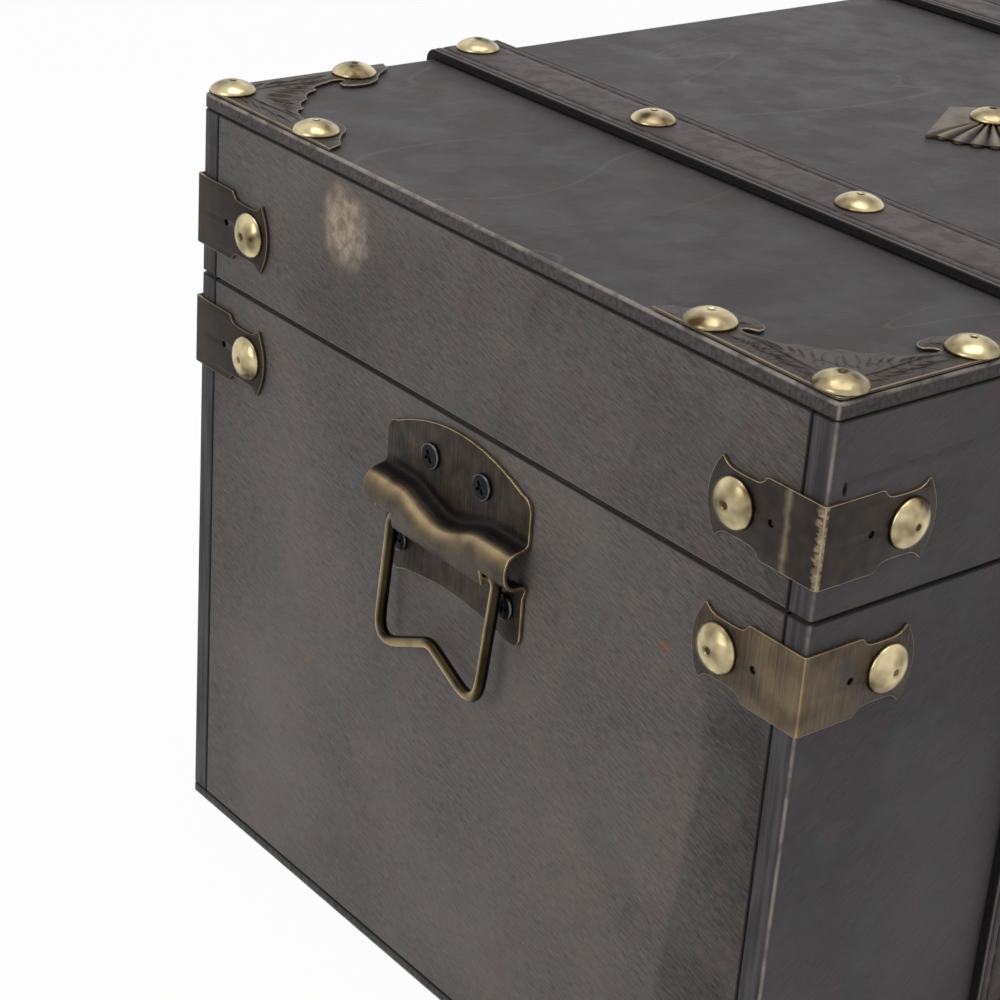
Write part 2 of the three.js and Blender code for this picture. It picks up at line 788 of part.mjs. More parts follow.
function bail() {
  const at = (y, z) => new THREE.Vector3(bailAxisReach - bailLean * z / bailDrop, y, z);
  const stubEnd = bailTopHalfWidth - bailStubLength;
  const points = [
    at(-stubEnd, 0), at(-bailTopHalfWidth, 0), at(-bailBottomHalfWidth, -bailDrop), at(0, -bailPeakDrop),
    at(bailBottomHalfWidth, -bailDrop), at(bailTopHalfWidth, 0), at(stubEnd, 0),
  ];
  const radii = [bailTopRadius, bailBottomRadius, bailTopRadius, bailBottomRadius, bailTopRadius];
  return wireAlong(roundedPath(points, radii), wireRadius, bailSides, bailSteps);
}

function addHandles() {
  const plate = handlePlate();
  for (const [side, x, turn] of [['left', -halfLength, halfTurn], ['right', halfLength, 0]]) {
    const handle = new THREE.Group();
    handle.position.set(x, 0, seamHeight - handleAxisDrop);
    handle.rotation.z = turn;
    handle.updateMatrixWorld();
    chest.add(handle);
    addMesh(`${side}_handle_plate`, plate.clone(), 'bronze', handle);
    addMesh(`${side}_handle_bail`, bail(), 'bronze', handle);
    screwSeats().forEach((seat, index) => {
      const mesh = addMesh(`${side}_handle_screw_${index + 1}`, screw(), 'darkSteel', handle);
      mesh.applyMatrix4(seat);
      drill(screwPilot().applyMatrix4(seat), handle.matrixWorld);
    });
  }
}

// Knuckles side by side along X, for leaves that take turns at them

function knuckleSpans(count, width, gap) {
  const pitch = width / count;
  return Array.from({ length: count }, (_, index) => {
    const left = -width / 2 + pitch * index + gap / 2;
    return [left, left + pitch - gap];
  });
}

function knuckledLeaf(spans, barrel, pinRadius, reach, plate) {
  const { near, far, tabEdge } = plate;
  const pieces = spans.flatMap(([left, right]) => {
    const tube = rodAlongX(barrel, left, right, roundSides).translate(0, reach, 0);
    const tab = blockBetween([left, near, Math.min(0, tabEdge)], [right, far, Math.max(0, tabEdge)]);
    return [toSolid(tube), toSolid(tab)];
  });
  const [left] = spans[0];
  const [, right] = spans[spans.length - 1];
  const bore = rodAlongX(pinRadius + pinRunningGap, left - cutOverrun, right + cutOverrun, roundSides);
  bore.translate(0, reach, 0);
  return cut(join([toSolid(plate.geometry), ...pieces]), [toSolid(bore)]);
}

// Hinges, in a frame at the seam on the back face with y off the wood

const hingeAxisReach = seatGap + hingeKnuckleRadius;

function hingeLeaf(sign) {
  const gapEdge = sign * (hingeKnuckleRadius + hingeLeafClearance);
  const farEdge = sign * hingeLeafHeight;
  const near = seatGap;
  const far = seatGap + metalThickness;
  const half = hingeWidth / 2;
  const geometry = blockBetween(
    [-half, near, Math.min(gapEdge, farEdge)],
    [half, far, Math.max(gapEdge, farEdge)],
  );
  const spans = knuckleSpans(hingeKnuckles, hingeWidth, hingeKnuckleGap);
  const own = spans.filter((_, index) => (index % 2 === 0) === (sign < 0));
  const plate = { geometry, near, far, tabEdge: gapEdge * knuckleTabShare };
  const leaf = knuckledLeaf(own, hingeKnuckleRadius, hingePinRadius, hingeAxisReach, plate);
  const rivets = hingeRivetSeats(sign).map((seat) => toSolid(rivet().applyMatrix4(seat)));
  return toGeometry(join([leaf, ...rivets]));
}

function hingeRivetSeats(sign) {
  const height = sign * hingeLeafHeight * hingeRivetHeightShare;
  return [-1, 1].map((side) => (
    stand('back', side * hingeWidth * hingeRivetSideShare, seatGap + metalThickness, height)
  ));
}

function hingePin(radius, width) {
  const half = width / 2;
  const shaft = toSolid(rodAlongX(radius, -half, half, roundSides));
  const outer = half + hingePinHeadLength;
  const heads = [[-outer, -half], [half, outer]].map(([left, right]) => (
    toSolid(rodAlongX(hingePinHeadRadius, left, right, roundSides))
  ));
  return toGeometry(join([shaft, ...heads]));
}

function addHinges() {
  const fromCentre = halfLength - hingeCentreInset;
  for (const [side, x] of [['left', -fromCentre], ['right', fromCentre]]) {
    const hinge = new THREE.Group();
    hinge.position.set(x, halfDepth, seamHeight);
    hinge.updateMatrixWorld();
    chest.add(hinge);
    addMesh(`${side}_hinge_lid_leaf`, hingeLeaf(1), 'brass', hinge);
    addMesh(`${side}_hinge_base_leaf`, hingeLeaf(-1), 'brass', hinge);
    const pin = addMesh(`${side}_hinge_pin`, hingePin(hingePinRadius, hingeWidth), 'brass', hinge);
    pin.position.set(0, hingeAxisReach, 0);
    [1, -1].flatMap(hingeRivetSeats).forEach((seat) => (
      drill(pilot(bracketTackLength).applyMatrix4(seat), hinge.matrixWorld)
    ));
  }
}

// Hasp, in a frame at its axis on the front board, with y off the wood

const haspHeight = seamHeight - haspAxisDrop;
const haspAxisReach = seatGap + haspKnuckleRadius;
const haspKnuckleEdge = haspKnuckleRadius + hingeLeafClearance;
const haspPlateWidth = haspFlapWidth + haspPlateMargin * 2;
const haspSlotWidth = (stapleWireRadius + haspSlotSideGap) * 2;
const haspSlotLength = stapleSpan + (stapleWireRadius + haspSlotEndGap) * 2;
const haspFlapLength = stapleOffset + haspSlotLength / 2 + haspFlapTip;
const staplePlateHeight = (stapleOffset - haspAxisDrop - staplePlateSeamInset) * 2;

function haspSpans(ofFlap) {
  const spans = knuckleSpans(haspKnuckles, haspFlapWidth, hingeKnuckleGap);
  return spans.filter((_, index) => (index % 2 === 1) === ofFlap);
}

function rivetPair(height) {
  const reach = (haspPlateWidth - haspPlateMargin) / 2;
  return [-reach, reach].map((x) => stand('back', x, seatGap + metalThickness, height));
}

function haspPlate(seats) {
  const half = haspPlateWidth / 2;
  const near = seatGap;
  const far = seatGap + metalThickness;
  const outline = roundedRectangle(-half, -haspPlateHeight, half, -haspKnuckleEdge, haspPlateRadius);
  const tabEdge = -haspKnuckleEdge * knuckleTabShare;
  const plate = { geometry: extrudeAlongY(outline, near, far), near, far, tabEdge };
  const leaf = knuckledLeaf(haspSpans(false), haspKnuckleRadius, haspPinRadius, haspAxisReach, plate);
  return toGeometry(join([leaf, ...seats.map((seat) => toSolid(rivet().applyMatrix4(seat)))]));
}

function haspFlap() {
  const half = haspFlapWidth / 2;
  const near = haspAxisReach - haspFlapThickness / 2;
  const far = haspAxisReach + haspFlapThickness / 2;
  const outline = new THREE.Shape();
  outline.moveTo(half, -haspKnuckleEdge);
  outline.lineTo(-half, -haspKnuckleEdge);
  outline.lineTo(-half, half - haspFlapLength);
  outline.absarc(0, half - haspFlapLength, half, halfTurn, halfTurn * 2);
  const slotHalf = haspSlotWidth / 2;
  const slotLow = -stapleOffset - haspSlotLength / 2;
  const slotRadius = slotHalf * haspSlotRoundShare;
  outline.holes.push(roundedRectangle(-slotHalf, slotLow, slotHalf, slotLow + haspSlotLength, slotRadius));
  const geometry = extrudeAlongY(outline, near, far, broadCurve);
  const plate = { geometry, near, far, tabEdge: -haspKnuckleEdge * knuckleTabShare };
  return toGeometry(knuckledLeaf(haspSpans(true), haspKnuckleRadius, haspPinRadius, haspAxisReach, plate));
}

function haspStaple(seats) {
  const half = haspPlateWidth / 2;
  const low = stapleOffset - staplePlateHeight / 2;
  const outline = roundedRectangle(-half, low, half, low + staplePlateHeight, haspPlateRadius);
  const plate = toSolid(extrudeAlongY(outline, seatGap, seatGap + metalThickness));
  const leg = stapleSpan / 2;
  const at = (y, z) => new THREE.Vector3(0, y, stapleOffset + z);
  const root = seatGap + metalThickness / 2;
  const points = [at(root, -leg), at(stapleReach, -leg), at(stapleReach, leg), at(root, leg)];
  const path = roundedPath(points, [stapleBendRadius, stapleBendRadius]);
  const loop = toSolid(wireAlong(path, stapleWireRadius, stapleSides, stapleSteps));
  return toGeometry(join([plate, loop, ...seats.map((seat) => toSolid(rivet().applyMatrix4(seat)))]));
}

function addHasp() {
  const hasp = new THREE.Group();
  hasp.position.set(0, -halfDepth, haspHeight);
  hasp.rotation.z = halfTurn;
  hasp.updateMatrixWorld();
  chest.add(hasp);
  const plateSeats = rivetPair(-(haspPlateHeight + haspKnuckleEdge) / 2);
  const stapleSeats = rivetPair(stapleOffset);
  addMesh('hasp_base_plate', haspPlate(plateSeats), 'bronze', hasp);
  addMesh('hasp_flap', haspFlap(), 'bronze', hasp);
  const pin = addMesh('hasp_pin', hingePin(haspPinRadius, haspFlapWidth), 'bronze', hasp);
  pin.position.set(0, haspAxisReach, 0);
  addMesh('hasp_lid_staple', haspStaple(stapleSeats), 'bronze', hasp);
  [...plateSeats, ...stapleSeats].forEach((seat) => (
    drill(pilot(bracketTackLength).applyMatrix4(seat), hasp.matrixWorld)
  ));
}

// Shell on the lid, fluted towards the front and pointed towards the back

function shellOutline() {
  const points = [[shellHalfWidth, 0], [0, shellBack], [-shellHalfWidth, 0]];
  const steps = shellFlutes * shellStepsPerFlute;
  for (let index = 1; index < steps; index += 1) {
    const angle = halfTurn + halfTurn * index / steps;
    const lobe = Math.abs(Math.sin(halfTurn * index / shellStepsPerFlute));
    const inset = 1 - (1 - lobe) * shellScallop / shellFront;
    points.push([shellHalfWidth * Math.cos(angle) * inset, shellFront * Math.sin(angle) * inset]);
  }
  return shapeFrom(points);
}

function addShell() {
  const seat = stand('up', 0, 0, chestHeight + seatGap + shellThickness);
  const hole = drill(pilot(shellTackLength), seat);
  const plate = toSolid(extrude(shellOutline(), shellThickness).translate(0, 0, chestHeight + seatGap));
  addMesh('lid_shell', toGeometry(cut(plate, [hole])), 'bronze');
  const mesh = addMesh('lid_shell_tack', tack(shellTackLength), 'brass');
  mesh.position.setFromMatrixPosition(seat);
}

// Boards, cut last because every tack and screw has its hole in them

function addBoard(name, geometry) {
  addMesh(name, toGeometry(cut(toSolid(geometry), pilots)), 'wood');
}

function faceBoardOutline(face) {
  const radius = woodCornerRadius;
  const outer = halfDepth;
  const inner = halfDepth - boardThickness;
  const shape = new THREE.Shape();
  if (face > 0) {
    shape.moveTo(-halfLength, inner);
    shape.lineTo(halfLength, inner);
    shape.absarc(halfLength - radius, outer - radius, radius, 0, quarterTurn);
    shape.absarc(radius - halfLength, outer - radius, radius, quarterTurn, halfTurn);
  } else {
    shape.moveTo(halfLength, -inner);
    shape.lineTo(-halfLength, -inner);
    shape.absarc(radius - halfLength, radius - outer, radius, halfTurn, halfTurn + quarterTurn);
    shape.absarc(halfLength - radius, radius - outer, radius, -quarterTurn, 0);
  }
  return shape;
}

function addBoards(part, bottom, top) {
  const height = top - bottom;
  for (const [side, face] of [['front', -1], ['back', 1]]) {
    addBoard(`${part}_${side}_board`, extrude(faceBoardOutline(face), height).translate(0, 0, bottom));
  }
  const reach = halfDepth - boardThickness - seatGap;
  for (const [side, face] of [['left', -1], ['right', 1]]) {
    const faces = [face * halfLength, face * (halfLength - boardThickness)];
    const low = [Math.min(...faces), -reach, bottom];
    addBoard(`${part}_${side}_board`, blockBetween(low, [Math.max(...faces), reach, top]));
  }
}

function addPanel(name, bottom, thickness) {
  const outline = roundedRectangle(-halfLength, -halfDepth, halfLength, halfDepth, woodCornerRadius);
  addBoard(name, extrude(outline, thickness).translate(0, 0, bottom));
}

addTopPlates();
addBrackets('lid', seamHeight + lidBracketRise);
addBrackets('base', seamHeight - baseBracketDrop);
addStraps();
addHandles();
addHinges();
addHasp();
addShell();
addBoards('base', baseBoardBottom, baseBoardTop);
addBoards('lid', lidBoardBottom, lidBoardTop);
addPanel('base_bottom_panel', 0, bottomPanelThickness);
addPanel('lid_top_panel', chestHeight - topPanelThickness, topPanelThickness);

export default chest;
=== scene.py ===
import math
import random
from contextlib import contextmanager

import bmesh
import bpy
from mathutils import Matrix, Vector
from mathutils.geometry import interpolate_bezier


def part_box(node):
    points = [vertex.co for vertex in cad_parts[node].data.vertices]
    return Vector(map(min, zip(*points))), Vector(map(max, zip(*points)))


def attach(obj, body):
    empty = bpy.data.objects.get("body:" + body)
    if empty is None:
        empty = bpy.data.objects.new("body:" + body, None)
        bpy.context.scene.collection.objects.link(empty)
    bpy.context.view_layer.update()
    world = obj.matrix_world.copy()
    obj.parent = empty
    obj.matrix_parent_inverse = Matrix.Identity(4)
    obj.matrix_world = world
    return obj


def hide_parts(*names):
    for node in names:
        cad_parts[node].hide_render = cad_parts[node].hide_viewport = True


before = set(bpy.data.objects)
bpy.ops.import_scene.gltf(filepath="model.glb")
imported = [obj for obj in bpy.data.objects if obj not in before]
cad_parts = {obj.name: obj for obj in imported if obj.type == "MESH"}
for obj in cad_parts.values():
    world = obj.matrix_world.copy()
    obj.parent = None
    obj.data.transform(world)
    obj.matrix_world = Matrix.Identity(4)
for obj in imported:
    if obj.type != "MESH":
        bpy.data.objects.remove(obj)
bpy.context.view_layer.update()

# A wooden treasure chest in metres. X runs along the front, Y from front to back, Z is up.

MM = 0.001

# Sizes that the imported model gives
half_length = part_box("base_bottom_panel")[1].x
half_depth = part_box("base_bottom_panel")[1].y
chest_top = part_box("lid_top_panel")[1].z
base_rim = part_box("base_left_board")[1].z
lid_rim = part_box("lid_left_board")[0].z
seam_height = (base_rim + lid_rim) / 2

# Wood
WOOD_CORNER_RADIUS = 1.4 * MM
BOARD_ARRIS = 0.45 * MM
SEAT_GAP = 0.3 * MM
NAIL_HOLE_SIZE = (0.65 * MM, 1.7 * MM)
NAIL_HOLE_DEPTH = 2 * MM
NAIL_HOLE_INSET = 4.9 * MM
NAIL_HOLE_RISE = 30.4 * MM

# Tacks: radius and height of each ring of the head, from the rim to the pit in the crown
TACK_RINGS = [
    (5.6, 0), (6.1, 0.02), (6.25, 0.3), (6.05, 0.8), (5.45, 1.4), (4.6, 1.95), (3.6, 2.42), (2.6, 2.76),
    (1.9, 2.92), (1.5, 2.98), (1.2, 2.95), (0.95, 2.8), (0.7, 2.62), (0.4, 2.54), (0.15, 2.52),
]
TACK_SIDES = 32
TACK_RISE = 3 * MM

# Bent corner brackets
METAL_THICKNESS = 0.8 * MM
METAL_RIM = 0.16 * MM
BRACKET_LEG = 33.5 * MM
BRACKET_HALF_HEIGHT = 9.8 * MM
LID_BRACKET_RISE = 18.3 * MM
BASE_BRACKET_DROP = 17 * MM
BRACKET_TACK_REACH = BRACKET_LEG * 0.755
SPARE_HOLE_REACH = BRACKET_LEG * 0.42
SPARE_HOLE_RADIUS = 0.9 * MM
FOLD_HALF_WIDTH = 0.45 * MM
FOLD_CUTS = 6

# Scrolled plates on the lid's corners
TOP_PLATE_LEG = 58 * MM
TOP_PLATE_INSET = 0.5 * MM
PLATE_RIM = 0.26 * MM
CORNER_TACK_INSET = 5.5 * MM
LEG_TACK_REACH = 45 * MM
SCROLL_RADIUS = 0.42 * MM
SCROLL_SINK = 0.16 * MM

# Straps
STRAP_HALF_WIDTH = 12 * MM
STRAP_THICKNESS = 2.8 * MM
STRAP_BEND = 0.8 * MM
STRAP_ROW_PITCH = 5 * MM
STRAP_BEND_ROWS = 8
STRAP_TACK_END_INSET = 5.5 * MM
STRAP_TOP_TACKS = 4
LID_DROP_TACK_SHARE = 0.5
BASE_STRAP_TACK_SHARES = (0.2, 0.8)
# Half of the strap's cross section: distance from the middle, and height over the wood
STRAP_HALF_SECTION = [
    (0, 2.8), (2.5, 2.8), (5, 2.79), (7, 2.74), (7.5, 2.62), (7.8, 2.42), (8.2, 2.42), (8.5, 2.6),
    (8.9, 2.7), (9.6, 2.72), (10.2, 2.66), (10.5, 2.42), (10.8, 2.4), (11.05, 2.6), (11.45, 2.66),
    (11.8, 2.5), (12, 2.2), (12, 0.35), (11.8, 0.05), (6, 0),
]
STITCH_LINE = 8 * MM
STITCH_LENGTH = 6.6 * MM
STITCH_PITCH = 8.8 * MM
STITCH_WIDTH = 0.62 * MM

# Handles, from the swing axis of the bail
HANDLE_AXIS_DROP = 32.2 * MM
HANDLE_SHEET = 1 * MM
HANDLE_RIM = 0.2 * MM
BAIL_WIRE_RADIUS = 1.55 * MM
SCREW_PLACES = [(-10.4, 19.7), (10.4, 19.7), (-21.8, -7.7), (21.8, -7.7)]

# Hinges and hasp
HINGE_INSET = 54.75 * MM
HINGE_HALF_WIDTH = 15 * MM
HINGE_LEAF_HEIGHT = 16 * MM
HINGE_KNUCKLES = 5
KNUCKLE_RADIUS = 2.2 * MM
KNUCKLE_SIDES = 24
KNUCKLE_GAP = 0.3 * MM
PIN_RADIUS = 0.8 * MM
PIN_HEAD_RADIUS = 1.5 * MM
PIN_HEAD_LENGTH = 0.7 * MM
LEAF_CLEARANCE = 0.4 * MM
HASP_DROP = 10 * MM
HASP_PLATE_HALF_WIDTH = 17 * MM
HASP_PLATE_HEIGHT = 20 * MM
HASP_KNUCKLE_RADIUS = 2.1 * MM
HASP_KNUCKLES = 3
HASP_FLAP_HALF_WIDTH = 10 * MM
HASP_FLAP_LENGTH = 37 * MM
HASP_FLAP_THICKNESS = 1.2 * MM
STAPLE_OFFSET = 24 * MM
STAPLE_REACH = 8.5 * MM
STAPLE_HALF_SPAN = 4.5 * MM
STAPLE_WIRE_RADIUS = 1.2 * MM

# Shell on the lid
SHELL_WING = 26.5 * MM
SHELL_HALF_WIDTH = 24.2 * MM
SHELL_FRONT = 22 * MM
SHELL_BACK = 15.5 * MM
SHELL_THICKNESS = 1.8 * MM
SHELL_FLUTES = 14
SHELL_SCALLOP = 1.6 * MM

chance = random.Random(11)


# Making pieces


def take(piece):
    bpy.ops.object.select_all(action="DESELECT")
    piece.select_set(True)
    bpy.context.view_layer.objects.active = piece


@contextmanager
def edit_mode(piece):
    """Edit mode on one piece, entered with nothing selected"""
    take(piece)
    bpy.ops.object.mode_set(mode="EDIT")
    bpy.ops.mesh.select_all(action="DESELECT")
    yield
    bpy.ops.object.mode_set(mode="OBJECT")


def select_edges(piece, wanted):
    bpy.ops.mesh.select_mode(type="EDGE")
    mesh = bmesh.from_edit_mesh(piece.data)
    for edge in mesh.edges:
        edge.select_set(wanted(*(corner.co for corner in edge.verts)))
    bmesh.update_edit_mesh(piece.data)


def settle(piece):
    """Puts a piece's place into its mesh"""
    take(piece)
    bpy.ops.object.transform_apply(location=True, rotation=True, scale=True)
    return piece


def smooth(piece, degrees=35):
    take(piece)
    bpy.ops.object.shade_smooth_by_angle(angle=math.radians(degrees))
    return piece


def apply_modifiers(piece):
    take(piece)
    for modifier in list(piece.modifiers):
        bpy.ops.object.modifier_apply(modifier=modifier.name)
    return piece


def round_off(piece, width, segments=2, degrees=40):
    """Rounds the sharp edges, and marks the rounded strips as rims"""
    while len(piece.data.materials) < 2:
        piece.data.materials.append(None)
    bevel = piece.modifiers.new("rounded edges", "BEVEL")
    bevel.width = width
    bevel.segments = segments
    bevel.limit_method = "ANGLE"
    bevel.angle_limit = math.radians(degrees)
    bevel.material = 1
    apply_modifiers(piece)
    mark_rim(piece, lambda face: face.material_index == 1)
    for face in piece.data.polygons:
        face.material_index = 0
    return piece


def fuse(pieces):
    """Several meshes as one"""
    take(pieces[0])
    for piece in pieces[1:]:
        piece.select_set(True)
    bpy.ops.object.join()
    return pieces[0]


def copy_at(piece, place):
    """A copy with a mesh of its own, put in place"""
    copy = piece.copy()
    copy.data = piece.data.copy()
    bpy.context.scene.collection.objects.link(copy)
    copy.data.transform(place)
    if place.determinant() < 0:
        copy.data.flip_normals()
    return copy


def discard(piece):
    bpy.data.objects.remove(piece)


def clean_shell(piece):
    """Closes seams and points every face outwards"""
    with edit_mode(piece):
        bpy.ops.mesh.select_all(action="SELECT")
        bpy.ops.mesh.remove_doubles(threshold=0.002 * MM)
        bpy.ops.mesh.fill_holes(sides=0)
        bpy.ops.mesh.normals_make_consistent(inside=False)
    return piece


def turned(rings, sides, unit=MM):
    """A turned piece: a circle drawn up ring by ring, and closed at both ends"""
    radius, height = rings[0]
    bpy.ops.mesh.primitive_circle_add(vertices=sides, radius=radius * unit, location=(0, 0, height * unit))
    piece = settle(bpy.context.object)
    with edit_mode(piece):
        bpy.ops.mesh.select_all(action="SELECT")
        for next_radius, next_height in rings[1:]:
            rise = (0, 0, (next_height - height) * unit)
            bpy.ops.mesh.extrude_region_move(TRANSFORM_OT_translate={"value": rise})
            grow = next_radius / radius
            bpy.ops.transform.resize(value=(grow, grow, 1), center_override=(0, 0, next_height * unit))
            radius, height = next_radius, next_height
    return clean_shell(piece)


def rod(radius, start, end, sides=KNUCKLE_SIDES):
    """A round bar along X with broken edges"""
    bpy.ops.mesh.primitive_cylinder_add(
        vertices=sides, radius=radius, depth=end - start,
        location=((start + end) / 2, 0, 0), rotation=(0, math.pi / 2, 0),
    )
    return round_off(settle(bpy.context.object), radius * 0.12)


def shaped_grid(columns, rows, place):
    """A grid whose points are moved to place(column, row)"""
    bpy.ops.mesh.primitive_grid_add(x_subdivisions=columns, y_subdivisions=rows, size=1)
    piece = bpy.context.object
    for point in piece.data.vertices:
        column = round((point.co.x + 0.5) * columns)
        row = round((point.co.y + 0.5) * rows)
        point.co = place(column, row)
    return piece


def quadratic(start, pull, end, steps=6):
    """Points after the start of a curve with one control point"""
    shares = [step / steps for step in range(1, steps + 1)]
    return [
        tuple((1 - t) ** 2 * a + 2 * t * (1 - t) * b + t * t * c for a, b, c in zip(start, pull, end))
        for t in shares
    ]


def cubic(start, pull_out, pull_in, end, steps):
    points = [Vector((*point, 0)) for point in (start, pull_out, pull_in, end)]
    return [(p.x, p.y) for p in interpolate_bezier(*points, steps + 1)]


def arc(centre, radius, start, end, steps=6):
    angles = [math.radians(start + (end - start) * step / steps) for step in range(steps + 1)]
    return [(centre[0] + radius * math.cos(a), centre[1] + radius * math.sin(a)) for a in angles]


def as_mesh(curve):
    piece = bpy.data.objects.new("drawn", curve)
    bpy.context.scene.collection.objects.link(piece)
    take(piece)
    bpy.ops.object.convert(target="MESH")
    return bpy.context.object


def cut_sheet(outline, thickness, holes=(), rim=METAL_RIM):
    """Flat sheet metal cut to an outline, centred on Z = 0, with a rounded rim that is marked"""
    curve = bpy.data.curves.new("sheet outline", "CURVE")
    curve.dimensions = "2D"
    curve.fill_mode = "BOTH"
    curve.extrude = thickness / 2 - rim
    curve.bevel_depth = rim
    curve.bevel_resolution = 1
    curve.offset = -rim
    for ring in (outline, *holes):
        spline = curve.splines.new("POLY")
        spline.points.add(len(ring) - 1)
        for point, (x, y) in zip(spline.points, ring):
            point.co = (x, y, 0, 1)
        spline.use_cyclic_u = True
    piece = clean_shell(as_mesh(curve))
    mark_rim(piece, lambda face: abs(face.normal.z) < 0.97)
    return piece


def mark_rim(piece, is_rim):
    rim = piece.data.attributes.get("rim") or piece.data.attributes.new("rim", "FLOAT", "CORNER")
    for face in piece.data.polygons:
        for loop in face.loop_indices:
            rim.data[loop].value = float(is_rim(face))


def mark_rub_and_light(piece, share):
    """Stores how bright each point of a mesh is painted, from rubbing by use, tarnish and painted highlights"""
    rub_and_light = piece.data.attributes.new("rub_and_light", "FLOAT", "POINT")
    for point, stored in zip(piece.data.vertices, rub_and_light.data):
        stored.value = share(point)


def wire(points, pulls, radius, sides=16):
    """Round wire through points, with a rounded turn at each inner point"""
    path = [Vector(points[0])]
    for before, corner, after, pull in zip(points, points[1:], points[2:], pulls):
        corner = Vector(corner)
        start = corner + (Vector(before) - corner).normalized() * pull
        end = corner + (Vector(after) - corner).normalized() * pull
        path += [Vector(p) for p in [tuple(start)] + quadratic(start, corner, end, 8)]
    path.append(Vector(points[-1]))
    curve = bpy.data.curves.new("wire", "CURVE")
    curve.dimensions = "3D"
    curve.bevel_depth = radius
    curve.bevel_resolution = sides // 4 - 1
    curve.use_fill_caps = True
    spline = curve.splines.new("POLY")
    spline.points.add(len(path) - 1)
    for point, place in zip(spline.points, path):
        point.co = (*place, 1)
    return smooth(clean_shell(as_mesh(curve)))


def install(piece, name, body, finish, slot, *nodes):
    """Names a finished piece and hands it to its body, in place of the nodes that it stands for"""
    piece.name = name
    piece.data.name = name
    if finish:
        piece.data.materials.clear()
        piece.data.materials.append(finish)
    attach(piece, body)
    if nodes:
        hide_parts(*nodes)
    return piece


# Places

FACING = {
    "up": Matrix.Identity(4),
    "front": Matrix.Rotation(math.pi / 2, 4, "X"),
    "back": Matrix.Rotation(-math.pi / 2, 4, "X"),
    "left": Matrix.Rotation(-math.pi / 2, 4, "Y"),
    "right": Matrix.Rotation(math.pi / 2, 4, "Y"),
}

CORNERS = [
    ("front_left", -1, -1, 0),
    ("front_right", 1, -1, 90),
    ("back_right", 1, 1, 180),
    ("back_left", -1, 1, 270),
]


def seat(side, x, y, z):
    """The place of a fastener that stands on a face"""
    return Matrix.Translation((x, y, z)) @ FACING[side]


def corner_place(across, along, turn, height):
    """The place of a corner piece whose wood lies in its +X +Y quarter"""
    spot = (across * half_length, along * half_depth, height)
    return Matrix.Translation(spot) @ Matrix.Rotation(math.radians(turn), 4, "Z")


# Node helpers


def paint(code):
    """A colour written as six hex digits, as the linear value that Blender wants"""
    channels = [int(code[index:index + 2], 16) / 255 for index in (0, 2, 4)]
    return (*(c / 12.92 if c <= 0.04045 else ((c + 0.055) / 1.055) ** 2.4 for c in channels), 1)


def add_node(tree, kind, inputs=None, **settings):
    node = tree.nodes.new(kind)
    for name, value in settings.items():
        setattr(node, name, value)
    for socket, value in (inputs or {}).items():
        if isinstance(value, bpy.types.NodeSocket):
            tree.links.new(value, node.inputs[socket])
        else:
            node.inputs[socket].default_value = value
    return node


def math_of(tree, operation, first, second=0.0, third=0.0, clamp=False):
    inputs = {0: first, 1: second, 2: third}
    return add_node(tree, "ShaderNodeMath", inputs, operation=operation, use_clamp=clamp).outputs[0]


def vector_of(tree, operation, first, second=(0, 0, 0)):
    return add_node(tree, "ShaderNodeVectorMath", {0: first, 1: second}, operation=operation).outputs[0]


def ramp(tree, value, low, high, start=0.0, end=1.0):
    """Start below low, end above high, and a soft step between them"""
    inputs = {"Value": value, "From Min": low, "From Max": high, "To Min": start, "To Max": end}
    return add_node(tree, "ShaderNodeMapRange", inputs, interpolation_type="SMOOTHSTEP").outputs["Result"]


def blend(tree, share, first, second, mode="MIX"):
    inputs = {"Factor": share, 6: first, 7: second}
    return add_node(tree, "ShaderNodeMix", inputs, data_type="RGBA", blend_type=mode).outputs[2]


def noise(tree, vector, scale, detail=2.0, roughness=0.5, distortion=0.0):
    inputs = {
        "Vector": vector, "Scale": scale, "Detail": detail, "Roughness": roughness, "Distortion": distortion,
    }
    return add_node(tree, "ShaderNodeTexNoise", inputs).outputs["Fac"]


def new_group(name, inputs, outputs):
    """A node group with its sockets, and its input and output nodes"""
    tree = bpy.data.node_groups.new(name, "ShaderNodeTree")
    for direction, sockets in (("INPUT", inputs), ("OUTPUT", outputs)):
        for socket, kind in sockets.items():
            tree.interface.new_socket(name=socket, in_out=direction, socket_type="NodeSocket" + kind)
    return tree, tree.nodes.new("NodeGroupInput").outputs, tree.nodes.new("NodeGroupOutput").inputs


def place_group(tree, group, inputs):
    node = tree.nodes.new("ShaderNodeGroup")
    node.node_tree = group
    for socket, value in inputs.items():
        if isinstance(value, bpy.types.NodeSocket):
            tree.links.new(value, node.inputs[socket])
        else:
            node.inputs[socket].default_value = value
    return node.outputs


def new_material(name):
    material = bpy.data.materials.new(name)
    material.use_nodes = True
    tree = material.node_tree
    shader = tree.nodes["Principled BSDF"]
    place = tree.nodes.new("ShaderNodeTexCoord").outputs["Object"]
    return material, tree, shader, place


def bump(tree, shader, height, depth, strength=1.0):
    """Height from 0 to 1 stands for a relief of that depth in metres"""
    inputs = {"Height": height, "Distance": depth, "Strength": strength}
    node = add_node(tree, "ShaderNodeBump", inputs)
    tree.links.new(node.outputs["Normal"], shader.inputs["Normal"])


# Effects that several materials share


